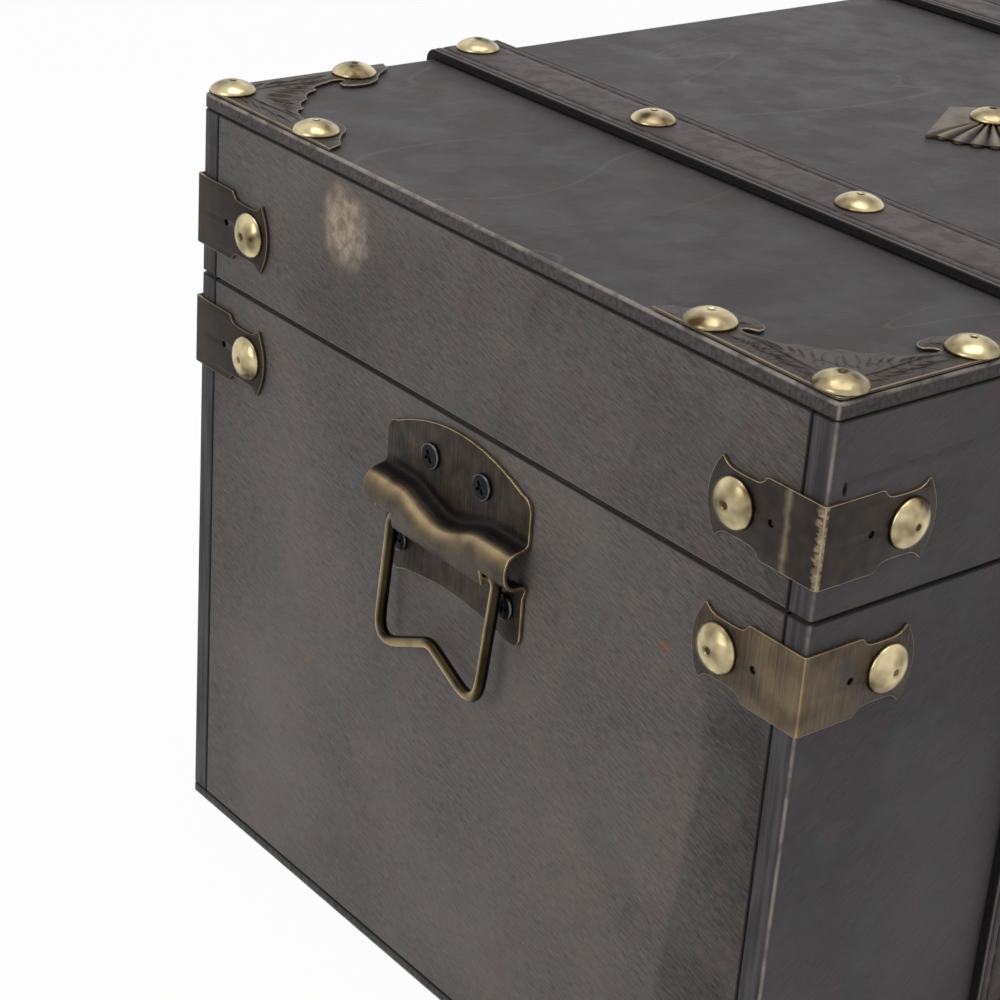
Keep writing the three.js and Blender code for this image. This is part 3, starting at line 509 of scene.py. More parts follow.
def build_sanding():
    """Short fine scratches: long along the turned X, thin across it"""
    tree, given, made = new_group(
        "Sanding Scratches",
        {"Vector": "Vector", "Turn": "Vector", "Length": "Float", "Width": "Float"},
        {"Scratches": "Float"},
    )
    turned_place = add_node(
        tree, "ShaderNodeMapping", {"Vector": given["Vector"], "Rotation": given["Turn"]},
    ).outputs[0]
    along = math_of(tree, "DIVIDE", 1.0, given["Length"])
    across = math_of(tree, "DIVIDE", 1.0, given["Width"])
    stretch = add_node(tree, "ShaderNodeCombineXYZ", {0: along, 1: across, 2: across}).outputs[0]
    long_place = vector_of(tree, "MULTIPLY", turned_place, stretch)
    fine = noise(tree, long_place, 1.0, 3.0, 0.65)
    broad = noise(tree, vector_of(tree, "ADD", long_place, (7.3, 2.1, 5.7)), 0.35, 2.0, 0.5)
    lines = math_of(tree, "ADD", ramp(tree, fine, 0.3, 0.7, 0, 0.7), ramp(tree, broad, 0.35, 0.65, 0, 0.3))
    tree.links.new(lines, made["Scratches"])
    return tree


def build_mottling():
    """Uneven stain: broad clouds with finer blotches in them"""
    tree, given, made = new_group(
        "Stain Mottling",
        {"Vector": "Vector", "Size": "Float"},
        {"Clouds": "Float", "Blotches": "Float"},
    )
    scale = math_of(tree, "DIVIDE", 1.0, given["Size"])
    broad = noise(tree, given["Vector"], scale, 2.0, 0.5, 0.4)
    fine = noise(tree, given["Vector"], math_of(tree, "MULTIPLY", scale, 4.5), 3.0, 0.55)
    tree.links.new(ramp(tree, broad, 0.3, 0.7), made["Clouds"])
    tree.links.new(ramp(tree, fine, 0.3, 0.7), made["Blotches"])
    return tree


def build_box_edges():
    """1 on the edges of a box, falling to 0 at a width from them"""
    tree, given, made = new_group(
        "Box Edges",
        {"Vector": "Vector", "Centre": "Vector", "Half Size": "Vector", "Width": "Float"},
        {"Edge": "Float"},
    )
    offset = vector_of(tree, "ABSOLUTE", vector_of(tree, "SUBTRACT", given["Vector"], given["Centre"]))
    inset = vector_of(tree, "ABSOLUTE", vector_of(tree, "SUBTRACT", given["Half Size"], offset))
    x, y, z = add_node(tree, "ShaderNodeSeparateXYZ", {0: inset}).outputs
    nearest = math_of(tree, "MINIMUM", x, y)
    farther = math_of(tree, "MAXIMUM", x, y)
    second = math_of(tree, "MAXIMUM", nearest, math_of(tree, "MINIMUM", farther, z))
    share = math_of(tree, "DIVIDE", second, given["Width"])
    tree.links.new(ramp(tree, share, 0.0, 1.0, 1.0, 0.0), made["Edge"])
    return tree


def build_veneer_rings():
    """Thin wandering lines of a peeled veneer"""
    tree, given, made = new_group(
        "Veneer Rings",
        {"Vector": "Vector", "Stretch": "Vector", "Count": "Float", "Line": "Float"},
        {"Rings": "Float", "Tone": "Float"},
    )
    long_place = vector_of(tree, "MULTIPLY", given["Vector"], given["Stretch"])
    field = noise(tree, long_place, 1.0, 1.5, 0.45, 0.6)
    step = math_of(tree, "FRACT", math_of(tree, "MULTIPLY", field, given["Count"]))
    from_line = math_of(tree, "ABSOLUTE", math_of(tree, "SUBTRACT", step, 0.5))
    share = math_of(tree, "DIVIDE", from_line, given["Line"])
    tree.links.new(ramp(tree, share, 0.0, 1.0, 1.0, 0.0), made["Rings"])
    tree.links.new(step, made["Tone"])
    return tree


def build_patina():
    """How bright old brass is: rubbed rims, places rubbed by use and painted highlights and reflections, over an even
    or cloudy tarnish
    """
    tree, given, made = new_group(
        "Rubbed Patina",
        {"Vector": "Vector", "Size": "Float", "Rub": "Float", "Base": "Float", "Uneven": "Float"},
        {"Bright": "Float"},
    )
    clouds = noise(tree, given["Vector"], math_of(tree, "DIVIDE", 1.0, given["Size"]), 2.0, 0.45)
    rubbed = math_of(tree, "MULTIPLY", given["Rub"], ramp(tree, clouds, 0.25, 0.6, 0.6, 1.0))
    drift = math_of(tree, "MULTIPLY", math_of(tree, "SUBTRACT", clouds, 0.5), given["Uneven"])
    even = math_of(tree, "ADD", given["Base"], drift)
    tree.links.new(math_of(tree, "ADD", rubbed, even, clamp=True), made["Bright"])
    return tree


def build_cells():
    """Wandering cells between creased lines, as a height"""
    tree, given, made = new_group(
        "Creased Cells",
        {"Vector": "Vector", "Size": "Float", "Wander": "Float", "Crease": "Float"},
        {"Height": "Float"},
    )
    scale = math_of(tree, "DIVIDE", 1.0, given["Size"])
    bent = add_node(tree, "ShaderNodeTexNoise", {"Vector": given["Vector"], "Scale": scale}).outputs["Color"]
    shift = add_node(
        tree, "ShaderNodeVectorMath",
        {0: vector_of(tree, "SUBTRACT", bent, (0.5, 0.5, 0.5)), "Scale": given["Wander"]}, operation="SCALE",
    ).outputs[0]
    place = vector_of(tree, "ADD", given["Vector"], shift)
    cells = add_node(
        tree, "ShaderNodeTexVoronoi", {"Vector": place, "Scale": scale}, feature="DISTANCE_TO_EDGE",
    ).outputs["Distance"]
    share = math_of(tree, "DIVIDE", cells, given["Crease"])
    tree.links.new(ramp(tree, share, 0.0, 1.0), made["Height"])
    return tree


sanding = build_sanding()
mottling = build_mottling()
box_edges = build_box_edges()
veneer_rings = build_veneer_rings()
patina = build_patina()
cells = build_cells()


# Materials

BODY_CENTRE = (0, 0, chest_top / 2)
BODY_HALF = (half_length, half_depth, chest_top / 2)
SANDING_TURN = math.radians(16)


def spot(tree, place, centre, reach, soft):
    """1 inside an oval spot and 0 outside, with a soft edge"""
    offset = vector_of(tree, "SUBTRACT", place, centre)
    scaled = vector_of(tree, "DIVIDE", offset, reach)
    length = add_node(tree, "ShaderNodeVectorMath", {0: scaled}, operation="LENGTH").outputs["Value"]
    return ramp(tree, length, 1 - soft, 1 + soft, 1.0, 0.0)


def rim_of(tree):
    return add_node(tree, "ShaderNodeAttribute", attribute_name="rim").outputs["Fac"]


def stained_wood(name, dark, light, scratches, rings, shade, mark):
    """Black-stained wood, sanded thin in places, with painted shade in the near-black grooves between its boards, and
    worn outer edges
    """
    material, tree, shader, place = new_material(name)
    stain = place_group(tree, mottling, {"Vector": place, "Size": 60 * MM})
    share, turn = scratches
    rub = place_group(tree, sanding, {
        "Vector": place, "Turn": turn, "Length": 2.4 * MM, "Width": 0.2 * MM,
    })["Scratches"]
    veneer = place_group(tree, veneer_rings, {"Vector": place, **rings})
    field = math_of(tree, "MULTIPLY", stain["Clouds"], 0.34)
    field = math_of(tree, "MULTIPLY_ADD", stain["Blotches"], 0.18, field)
    field = math_of(tree, "MULTIPLY_ADD", rub, share, field)
    field = shade(tree, place, field)
    base = blend(tree, math_of(tree, "ADD", field, 0.0, clamp=True), dark, light)
    base = blend(tree, math_of(tree, "MULTIPLY", veneer["Rings"], 0.13), base, paint("968e8a"))
    base = mark(tree, place, tint_stain(tree, place, base))
    outline = place_group(tree, box_edges, {
        "Vector": place, "Centre": BODY_CENTRE, "Half Size": BODY_HALF, "Width": 2 * MM,
    })["Edge"]
    # Painted shade: the rounded edges in the grooves and seams between boards are painted near-black
    groove_shade = math_of(tree, "MULTIPLY", rim_of(tree), math_of(tree, "SUBTRACT", 0.95, outline), clamp=True)
    base = blend(tree, groove_shade, base, paint("0e0c0c"))
    chips = ramp(tree, noise(tree, place, 1 / (6 * MM), 4.0, 0.6), 0.36, 0.6, 0.3, 1.0)
    worn = math_of(tree, "MULTIPLY", ramp(tree, outline, 0.5, 0.95), chips)
    base = blend(tree, worn, base, paint("a0978f"))
    tree.links.new(base, shader.inputs["Base Color"])
    tree.links.new(ramp(tree, stain["Blotches"], 0, 1, 0.5, 0.62), shader.inputs["Roughness"])
    shader.inputs["Specular IOR Level"].default_value = 0.3
    pores = noise(tree, place, 1 / (0.9 * MM), 3.0)
    bump(tree, shader, math_of(tree, "ADD", rub, pores), 0.08 * MM)
    return material


def tint_stain(tree, place, base):
    """Faint green and red clouds in the black stain"""
    green = noise(tree, place, 1 / (17 * MM), 3.0)
    red = noise(tree, vector_of(tree, "ADD", place, (0.31, 0.17, 0.53)), 1 / (8 * MM), 3.0)
    base = blend(tree, ramp(tree, green, 0.5, 0.68, 0, 0.3), base, paint("4d5553"))
    return blend(tree, ramp(tree, red, 0.55, 0.7, 0, 0.25), base, paint("63494f"))


def even(tree, place, field):
    return field


def z_of(tree, place):
    return add_node(tree, "ShaderNodeSeparateXYZ", {0: place}).outputs[2]


def past_side(tree, place):
    """How far a point lies past the chest's end faces, and past its front and back"""
    offset = vector_of(tree, "SUBTRACT", vector_of(tree, "ABSOLUTE", place), (half_length, half_depth, 0))
    x, y, z = add_node(tree, "ShaderNodeSeparateXYZ", {0: offset}).outputs
    return x, y


def paint_panel(tree, place, base):
    """The lid panel's own edges are darker than its top"""
    x, y = past_side(tree, place)
    side = ramp(tree, math_of(tree, "MAXIMUM", x, y), -0.5 * MM, -0.1 * MM, 0.0, 0.9)
    grit = ramp(tree, noise(tree, place, 1 / (1.2 * MM), 4.0), 0.35, 0.65)
    return blend(tree, side, base, blend(tree, grit, paint("2f2a29"), paint("514947")))


def paint_post(tree, place, base):
    """The ends of the front and back boards stand as dark posts beside the end boards"""
    x, y = past_side(tree, place)
    streaks = noise(tree, vector_of(tree, "MULTIPLY", place, (1, 1, 0.06)), 1 / (1.6 * MM), 3.0)
    post = blend(tree, ramp(tree, streaks, 0.35, 0.65), paint("232123"), paint("494648"))
    return blend(tree, ramp(tree, x, -0.5 * MM, -0.1 * MM, 0.0, 0.9), base, post)


# Marks on the left end: a rubbed patch under the lid's edge and a darker strip by the front
PATCH_CENTRE = (-half_length, 53 * MM, 202 * MM)
PATCH_REACH = (20 * MM, 8.5 * MM, 9.5 * MM)
SURROUND_REACH = (20 * MM, 12.5 * MM, 14 * MM)
STRIP_WIDTH = 27 * MM
STRIP_TOP = 141 * MM


def shade_end(tree, place, field):
    """The end boards are lighter in the middle and darker towards their edges, darker on the lid, in a broad patch high
    at the back and in a strip by the front
    """
    x, y, z = add_node(tree, "ShaderNodeSeparateXYZ", {0: place}).outputs
    drift = math_of(tree, "MULTIPLY", noise(tree, place, 1 / (40 * MM), 3.0), 10 * MM)
    from_front = math_of(tree, "ADD", math_of(tree, "ADD", y, half_depth), drift)
    from_edge = math_of(tree, "SUBTRACT", half_depth, math_of(tree, "ABSOLUTE", y))
    middle = ramp(tree, math_of(tree, "ADD", from_edge, drift), 6 * MM, 45 * MM, -0.16, 0.14)
    strip_edge = math_of(tree, "MULTIPLY_ADD", z, -0.08, STRIP_WIDTH + 11 * MM + 5 * MM)
    past = math_of(tree, "SUBTRACT", from_front, strip_edge)
    strip = ramp(tree, past, -1.5 * MM, 1.5 * MM, 1.0, 0.0)
    strip = math_of(tree, "MULTIPLY", strip, ramp(tree, z, STRIP_TOP - 6 * MM, STRIP_TOP + 6 * MM, 1.0, 0.0))
    field = math_of(tree, "ADD", field, math_of(tree, "SUBTRACT", middle, 0.12))
    field = math_of(tree, "ADD", field, ramp(tree, z, seam_height - 1 * MM, seam_height + 1 * MM, 0.0, -0.14))
    far = spot(tree, place, (-half_length, 62 * MM, 158 * MM), (200 * MM, 60 * MM, 34 * MM), 0.7)
    field = math_of(tree, "MULTIPLY_ADD", far, -0.16, field)
    return math_of(tree, "MULTIPLY_ADD", strip, -0.24, field)


def shade_top(tree, place, field):
    """The top grows darker towards its front right"""
    across = add_node(tree, "ShaderNodeVectorMath", {0: place, 1: (0.79, -0.61, 0)}, operation="DOT_PRODUCT").outputs["Value"]
    return math_of(tree, "ADD", field, ramp(tree, across, -100 * MM, 120 * MM, 0.0, -0.22))


def paint_end(tree, place, base):
    """The rubbed patch, the light lower edge of the lid, and two orange specks of filler"""
    wobble = add_node(tree, "ShaderNodeTexNoise", {"Vector": place, "Scale": 1 / (5 * MM), "Detail": 4.0}).outputs["Color"]
    shift = vector_of(tree, "MULTIPLY", vector_of(tree, "SUBTRACT", wobble, (0.5, 0.5, 0.5)), (9 * MM,) * 3)
    moved = vector_of(tree, "ADD", place, shift)
    patch = spot(tree, moved, PATCH_CENTRE, PATCH_REACH, 0.35)
    around = spot(tree, moved, PATCH_CENTRE, SURROUND_REACH, 0.5)
    base = blend(tree, math_of(tree, "MULTIPLY", around, 0.4), base, paint("5c4d44"))
    blotches = ramp(tree, noise(tree, place, 1 / (3.5 * MM), 3.0, 0.5, 0.3), 0.36, 0.62, 0.4, 1.0)
    grain = ramp(tree, noise(tree, place, 1 / (0.9 * MM), 3.0, 0.6), 0.35, 0.6, 0.65, 1.0)
    share = math_of(tree, "MULTIPLY", patch, math_of(tree, "MULTIPLY", blotches, grain))
    base = blend(tree, share, base, paint("b5a28d"))
    above_seam = math_of(tree, "SUBTRACT", z_of(tree, place), seam_height + 0.75 * MM)
    lip = ramp(tree, math_of(tree, "ABSOLUTE", above_seam), 0.1 * MM, 0.4 * MM, 0.5, 0.0)
    base = blend(tree, lip, base, paint("968b84"))
    for centre in ((-half_length, -77.6 * MM, 142.4 * MM), (-half_length, 63.5 * MM, 73.7 * MM)):
        base = blend(tree, math_of(tree, "MULTIPLY", spot(tree, moved, centre, (1.6 * MM,) * 3, 0.5), 0.6), base, paint("8a5a3c"))
    return base


def metal(name, dark, bright, patina_size, wear_and_painted_light, roughness, rub=None, stain=None, brushed=0.0, relief=0.0):
    """Old metal: dark patina, rubbed bright on its rims and by use, and lighter where a highlight or reflection is
    painted on. Its tarnish and painted light come as an even and an uneven share.
    """
    material, tree, shader, place = new_material(name)
    rub_and_light = add_node(tree, "ShaderNodeAttribute", attribute_name="rub_and_light").outputs["Fac"]
    # Rubbed rims, rubbing by use and painted highlights, sheen and reflections all lighten the patina
    worn = math_of(tree, "ADD", rim_of(tree), rub_and_light)
    if rub:
        worn = math_of(tree, "MAXIMUM", worn, rub(tree, place))
    even, uneven = wear_and_painted_light
    made = place_group(tree, patina, {
        "Vector": place, "Size": patina_size, "Rub": worn, "Base": even, "Uneven": uneven,
    })["Bright"]
    height = noise(tree, place, 1 / (3 * MM), 2.0)
    if brushed:
        lines = place_group(tree, sanding, {
            "Vector": place, "Turn": (0, math.pi / 2, 0), "Length": 12 * MM, "Width": 0.3 * MM,
        })["Scratches"]
        made = math_of(tree, "MULTIPLY_ADD", math_of(tree, "SUBTRACT", lines, 0.5), brushed, made)
        height = math_of(tree, "ADD", height, lines)
    if relief:
        lines = place_group(tree, veneer_rings, {"Vector": place, "Stretch": (relief,) * 3, "Count": 8.0, "Line": 0.2})["Rings"]
        face_height = chest_top + SEAT_GAP + METAL_THICKNESS
        lines = math_of(tree, "MULTIPLY", lines, ramp(tree, z_of(tree, place), face_height - 0.15 * MM, face_height - 0.03 * MM))
        made = math_of(tree, "MULTIPLY_ADD", lines, -0.1, made)
        height = math_of(tree, "MULTIPLY_ADD", lines, -2.0, height)
    colour = blend(tree, made, dark, bright)
    if stain:
        colour = stain(tree, place, colour)
    tree.links.new(colour, shader.inputs["Base Color"])
    shader.inputs["Metallic"].default_value = 1.0
    low, high = roughness
    tree.links.new(ramp(tree, made, 0, 1, high, low), shader.inputs["Roughness"])
    bump(tree, shader, height, 0.05 * MM)
    return material


def from_fold(tree, place):
    """Distance from the line where a corner bracket folds"""
    flat = vector_of(tree, "MULTIPLY", vector_of(tree, "ABSOLUTE", place), (1, 1, 0))
    out = SEAT_GAP + METAL_THICKNESS
    offset = vector_of(tree, "SUBTRACT", flat, (half_length + out, half_depth + out, 0))
    return add_node(tree, "ShaderNodeVectorMath", {0: offset}, operation="LENGTH").outputs["Value"]


def on_end(tree, place):
    """1 on the leg of a corner bracket that lies on the chest's end, 0 on the other one"""
    x = add_node(tree, "ShaderNodeSeparateXYZ", {0: vector_of(tree, "ABSOLUTE", place)}).outputs[0]
    return ramp(tree, x, half_length - 0.1 * MM, half_length + 0.2 * MM)


def fold_rub_and_highlight(tree, place):
    """The fold of a corner bracket is rubbed bright, with a painted highlight along it"""
    return ramp(tree, from_fold(tree, place), 0.45 * MM, 0.7 * MM, 0.9, 0.0)


def lid_fold_highlights(tree, place):
    """The lid's brackets also get an uneven painted highlight beside the fold and a faint band of painted reflection,
    on the leg that lies on the chest's end
    """
    streaks = noise(tree, vector_of(tree, "MULTIPLY", place, (1, 1, 2.4)), 1 / (2.4 * MM), 3.0, 0.6)
    ragged_highlight = ramp(tree, from_fold(tree, place), 0.7 * MM, 3.6 * MM, 0.5, -0.5)
    ragged_highlight = math_of(tree, "ADD", ragged_highlight, ramp(tree, streaks, 0.3, 0.7, -0.4, 0.4), clamp=True)
    along = math_of(tree, "SUBTRACT", from_fold(tree, place), 10.4 * MM)
    uneven = math_of(tree, "MULTIPLY", noise(tree, place, 1 / (3.5 * MM), 3.0), 2.4 * MM)
    near = math_of(tree, "ADD", math_of(tree, "ABSOLUTE", along), uneven)
    # A faint band across the end leg: a painted reflection
    band = ramp(tree, near, 0.4 * MM, 3.0 * MM, 0.5, 0.0)
    beside = math_of(tree, "MULTIPLY", math_of(tree, "MAXIMUM", ragged_highlight, band), on_end(tree, place))
    return math_of(tree, "MAXIMUM", fold_rub_and_highlight(tree, place), beside)


def painted_sheen_to_fold(tree, place):
    """The base's brackets get a painted sheen that grows lighter from their horns to the fold, most on the chest's end
    """
    glow = ramp(tree, from_fold(tree, place), 2 * MM, 27 * MM, 0.34, 0.0)
    glow = math_of(tree, "MULTIPLY", glow, ramp(tree, on_end(tree, place), 0, 1, 0.6, 1.0))
    return math_of(tree, "MAXIMUM", fold_rub_and_highlight(tree, place), glow)


def smudge(tree, place, colour):
    """A dark blue smudge beside the spare hole of the front left bracket"""
    centre = (12 * MM - half_length, -half_depth, seam_height - BASE_BRACKET_DROP + 3.5 * MM)
    drift = add_node(tree, "ShaderNodeTexNoise", {"Vector": place, "Scale": 1 / (3 * MM), "Detail": 3.0}).outputs["Color"]
    shift = vector_of(tree, "MULTIPLY", vector_of(tree, "SUBTRACT", drift, (0.5, 0.5, 0.5)), (4 * MM,) * 3)
    share = spot(tree, vector_of(tree, "ADD", place, shift), centre, (3.6 * MM, 6 * MM, 2.6 * MM), 0.5)
    return blend(tree, math_of(tree, "MULTIPLY", share, 0.6), colour, paint("3f3d42"))


def strap_leather():
    """Brown strap leather, dark in its creases and stitched channels, and light along its rounded edge, partly rubbed
    and partly a painted highlight
    """
    material, tree, shader, place = new_material("strap_leather_brown")
    x = add_node(tree, "ShaderNodeSeparateXYZ", {0: place}).outputs[0]
    strap_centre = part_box("base_front_strap_right")[1].x - STRAP_HALF_WIDTH
    across = math_of(tree, "ABSOLUTE", math_of(tree, "SUBTRACT", math_of(tree, "ABSOLUTE", x), strap_centre))

    def line(middle, inner, outer, level):
        from_middle = math_of(tree, "ABSOLUTE", math_of(tree, "SUBTRACT", across, middle))
        return ramp(tree, from_middle, inner, outer, level, 0.0)

    stain = place_group(tree, mottling, {"Vector": place, "Size": 18 * MM})
    base = blend(tree, stain["Clouds"], paint("382d2e"), paint("46393a"))
    base = blend(tree, math_of(tree, "MULTIPLY", stain["Blotches"], 0.35), base, paint("3f3639"))
    broken = ramp(tree, noise(tree, place, 1 / (5 * MM), 1.0), 0.4, 0.52, 0.25, 1.0)
    creases = math_of(tree, "MAXIMUM", line(STITCH_LINE, 0.2 * MM, 0.65 * MM, 0.5), line(10.65 * MM, 0.15 * MM, 0.5 * MM, 0.85))
    creases = math_of(tree, "MULTIPLY", creases, broken)
    base = blend(tree, creases, base, paint("241a1f"))
    # Light line on the rounded outer edge: rubbed leather with a painted highlight on it
    rubbed = math_of(tree, "MULTIPLY", line(11.5 * MM, 0.1 * MM, 0.5 * MM, 0.7), ramp(tree, stain["Blotches"], 0, 1, 0.6, 1))
    base = blend(tree, rubbed, base, paint("766c6d"))
    tree.links.new(base, shader.inputs["Base Color"])
    tree.links.new(ramp(tree, stain["Blotches"], 0, 1, 0.46, 0.6), shader.inputs["Roughness"])
    shader.inputs["Specular IOR Level"].default_value = 0.3
    grain = place_group(tree, cells, {
        "Vector": place, "Size": 1.1 * MM, "Wander": 0.4 * MM, "Crease": 0.28,
    })["Height"]
    bump(tree, shader, grain, 0.03 * MM)
    return material


def strap_edge():
    """The strap's painted black edge, rough as cut leather is"""
    material, tree, shader, place = new_material("strap_edge_black")
    grains = noise(tree, place, 1 / (0.7 * MM), 4.0, 0.65)
    base = blend(tree, ramp(tree, grains, 0.48, 0.75), paint("0c0c0d"), paint("302e2f"))
    tree.links.new(base, shader.inputs["Base Color"])
    tree.links.new(ramp(tree, grains, 0.3, 0.7, 0.6, 0.8), shader.inputs["Roughness"])
    shader.inputs["Specular IOR Level"].default_value = 0.2
    bump(tree, shader, grains, 0.25 * MM)
    return material


def stitch_thread():
    """Dark waxed thread, twisted"""
    material, tree, shader, place = new_material("stitch_thread")
    twist = noise(tree, place, 1 / (0.4 * MM), 2.0)
    tree.links.new(blend(tree, twist, paint("170f13"), paint("2e2228")), shader.inputs["Base Color"])
    tree.links.new(ramp(tree, twist, 0.3, 0.7, 0.6, 0.8), shader.inputs["Roughness"])
    return material


RINGS_TOP = {"Stretch": (3.5, 14, 14), "Count": 6.0, "Line": 0.022}
RINGS_SIDE = {"Stretch": (3, 3, 12), "Count": 2.0, "Line": 0.01}

end_wood = stained_wood(
    "stained_wood_end", paint("231f1e"), paint("6f6863"), (0.95, (-SANDING_TURN, 0, -math.pi / 2)), RINGS_SIDE,
    shade_end, paint_end,
)
front_wood = stained_wood(
    "stained_wood_front", paint("2e2c2d"), paint("5d5859"), (0.5, (0, 0.45, 0)), RINGS_SIDE, even, paint_post,
)
top_wood = stained_wood(
    "stained_wood_top", paint("2b2829"), paint("494344"), (0.5, (0, 0, 0.2)), RINGS_TOP, shade_top, paint_panel,
)
bracket_dark = metal(
    "bracket_bronze_dark", paint("2d2928"), paint("a8957a"), 4 * MM, (0.03, 0.12), (0.3, 0.42), lid_fold_highlights,
)
bracket_light = metal(
    "bracket_bronze_light", paint("362e2b"), paint("9d8968"), 7 * MM, (0.06, 0.3), (0.32, 0.42), painted_sheen_to_fold, smudge, 0.2,
)
bracket_dull = metal("bracket_bronze_dull", paint("2b2726"), paint("7f7059"), 5 * MM, (0.05, 0.14), (0.34, 0.44))
plate_bronze = metal(
    "corner_plate_bronze", paint("2f2928"), paint("8e7f6c"), 6 * MM, (0.12, 0.15), (0.36, 0.46), relief=90.0,
)
handle_bronze = metal(
    "handle_bronze", paint("211d1e"), paint("a89270"), 5 * MM, (0.06, 0.2), (0.26, 0.38), brushed=0.08,
)
# The bail's very dark and bright colours also carry its painted reflection and highlight
wire_bronze = metal("wire_bronze", paint("19140f"), paint("c0aa80"), 7 * MM, (0.03, 0.14), (0.22, 0.34))
# The tack heads' strong dark brown clouds are painted reflections of the dark wood round them, over the brass's own
# tarnish
tack_brass = metal("tack_brass_painted_reflections", paint("4a3a24"), paint("d2c299"), 6 * MM, (0.56, 2.8), (0.2, 0.33))
shell_bronze = metal("shell_bronze", paint("2b2421"), paint("8d7f6d"), 5 * MM, (0.12, 0.3), (0.36, 0.46))
steel = metal("screw_steel", paint("161719"), paint("5f6061"), 3 * MM, (0.02, 0.1), (0.3, 0.42))
brown_leather = strap_leather()
black_edge = strap_edge()
thread = stitch_thread()


# Boards


def is_upright(a, b):
    return abs(a.x - b.x) + abs(a.y - b.y) < 0.01 * MM


def planed_board(node, body, finish, rounds_corner):
    """A board cut to its node's box, with the chest's round upright corners and broken edges"""
    low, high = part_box(node)
    bpy.ops.mesh.primitive_cube_add(size=1, location=(low + high) / 2, scale=high - low)
    board = settle(bpy.context.object)
    if rounds_corner:
        with edit_mode(board):
            select_edges(board, lambda a, b: is_upright(a, b) and rounds_corner(a))
            bpy.ops.mesh.bevel(offset=WOOD_CORNER_RADIUS, segments=5, affect="EDGES")
    smooth(round_off(board, BOARD_ARRIS, 3))
    return install(board, node + "_wood", body, finish, "stained_wood", node)


def drill_nail_hole(board):
    half_width, half_height = NAIL_HOLE_SIZE
    bpy.ops.mesh.primitive_cylinder_add(
        vertices=12, radius=half_width, depth=NAIL_HOLE_DEPTH * 2, rotation=(math.pi / 2, 0, 0),
        location=(NAIL_HOLE_INSET - half_length, -half_depth, seam_height + NAIL_HOLE_RISE),
    )
    drill = bpy.context.object
    drill.scale.y = half_height / half_width
    settle(drill)
    cut = board.modifiers.new("nail hole", "BOOLEAN")
    cut.object = drill
    cut.solver = "EXACT"
    apply_modifiers(board)
    discard(drill)


def add_boards():
    for part, body in (("base", "base"), ("lid", "lid")):
        for side, sign in (("front", -1), ("back", 1)):
            board = planed_board(
                f"{part}_{side}_board", body, front_wood, lambda a, sign=sign: a.y * sign > half_depth - MM,
            )
            if (part, side) == ("lid", "front"):
                drill_nail_hole(board)
        for side in ("left", "right"):
            planed_board(f"{part}_{side}_board", body, end_wood, None)
    planed_board("base_bottom_panel", "base", front_wood, lambda a: True)
    planed_board("lid_top_panel", "lid", top_wood, lambda a: True)


# Tacks


def tack_head():
    """A domed head whose pit and rolled edge are tarnished"""
    head = smooth(turned(TACK_RINGS, TACK_SIDES), 50)

    def tarnish(point):
        reach = point.co.xy.length
        return -0.9 if reach < 0.8 * MM or point.co.z < 0.1 * MM else -0.25 if reach < 1.3 * MM else 0

    mark_rub_and_light(head, tarnish)
    return head


def add_tack(head, name, body, place, *nodes):
    spin = Matrix.Rotation(chance.uniform(0, math.tau), 4, "Z")
    return install(copy_at(head, place @ spin), name, body, tack_brass, "tack_brass", *nodes)


# Corner brackets


def bracket_outline():
    """One leg of the outline, from the fold's top round the horned end to its foot, and then the other leg"""
    top, leg = BRACKET_HALF_HEIGHT, BRACKET_LEG
    neck = 0.77 * top
    upper = [(0.475 * leg, top)]
    upper += quadratic((0.475 * leg, top), (0.5 * leg, top), (0.515 * leg, 0.9 * top), 3)
    upper += quadratic((0.515 * leg, 0.9 * top), (0.54 * leg, neck), (0.61 * leg, neck))
    upper += quadratic((0.61 * leg, neck), (0.68 * leg, neck * 0.98), (0.78 * leg, neck), 3)
    upper += quadratic((0.78 * leg, neck), (0.845 * leg, neck), (0.885 * leg, 0.93 * top))
    horn = quadratic((0.885 * leg, 0.93 * top), (0.905 * leg, 1.03 * top), (0.925 * leg, 0.87 * top), 4)
    end = quadratic((0.925 * leg, 0.87 * top), (1.075 * leg, 0), (0.925 * leg, -0.87 * top), 12)
    lower = [(x, -y) for x, y in reversed(upper + horn)][1:]
    half = upper + horn + end + lower
    return half + [(-x, y) for x, y in reversed(half)]


def fold_bracket(sheet):
    """Folds the flat sheet sharply round a chest corner that stands at the origin"""
    with edit_mode(sheet):
        for step in range(FOLD_CUTS + 1):
            cut = FOLD_HALF_WIDTH * (2 * step / FOLD_CUTS - 1)
            bpy.ops.mesh.select_all(action="SELECT")
            bpy.ops.mesh.bisect(plane_co=(cut, 0, 0), plane_no=(1, 0, 0))
    stretch = BRACKET_LEG / (BRACKET_LEG - FOLD_HALF_WIDTH)
    for point in sheet.data.vertices:
        along, height, out = point.co
        lift = SEAT_GAP + METAL_THICKNESS / 2 + out
        past = max(0, abs(along) - FOLD_HALF_WIDTH) * stretch
        angle = (max(-1, min(1, along / FOLD_HALF_WIDTH)) + 1) * math.pi / 4
        x = past if along > 0 else 0
        y = 0 if along > 0 else past
        point.co = (x - lift * math.cos(angle), y - lift * math.sin(angle), height)
    return smooth(sheet, 30)


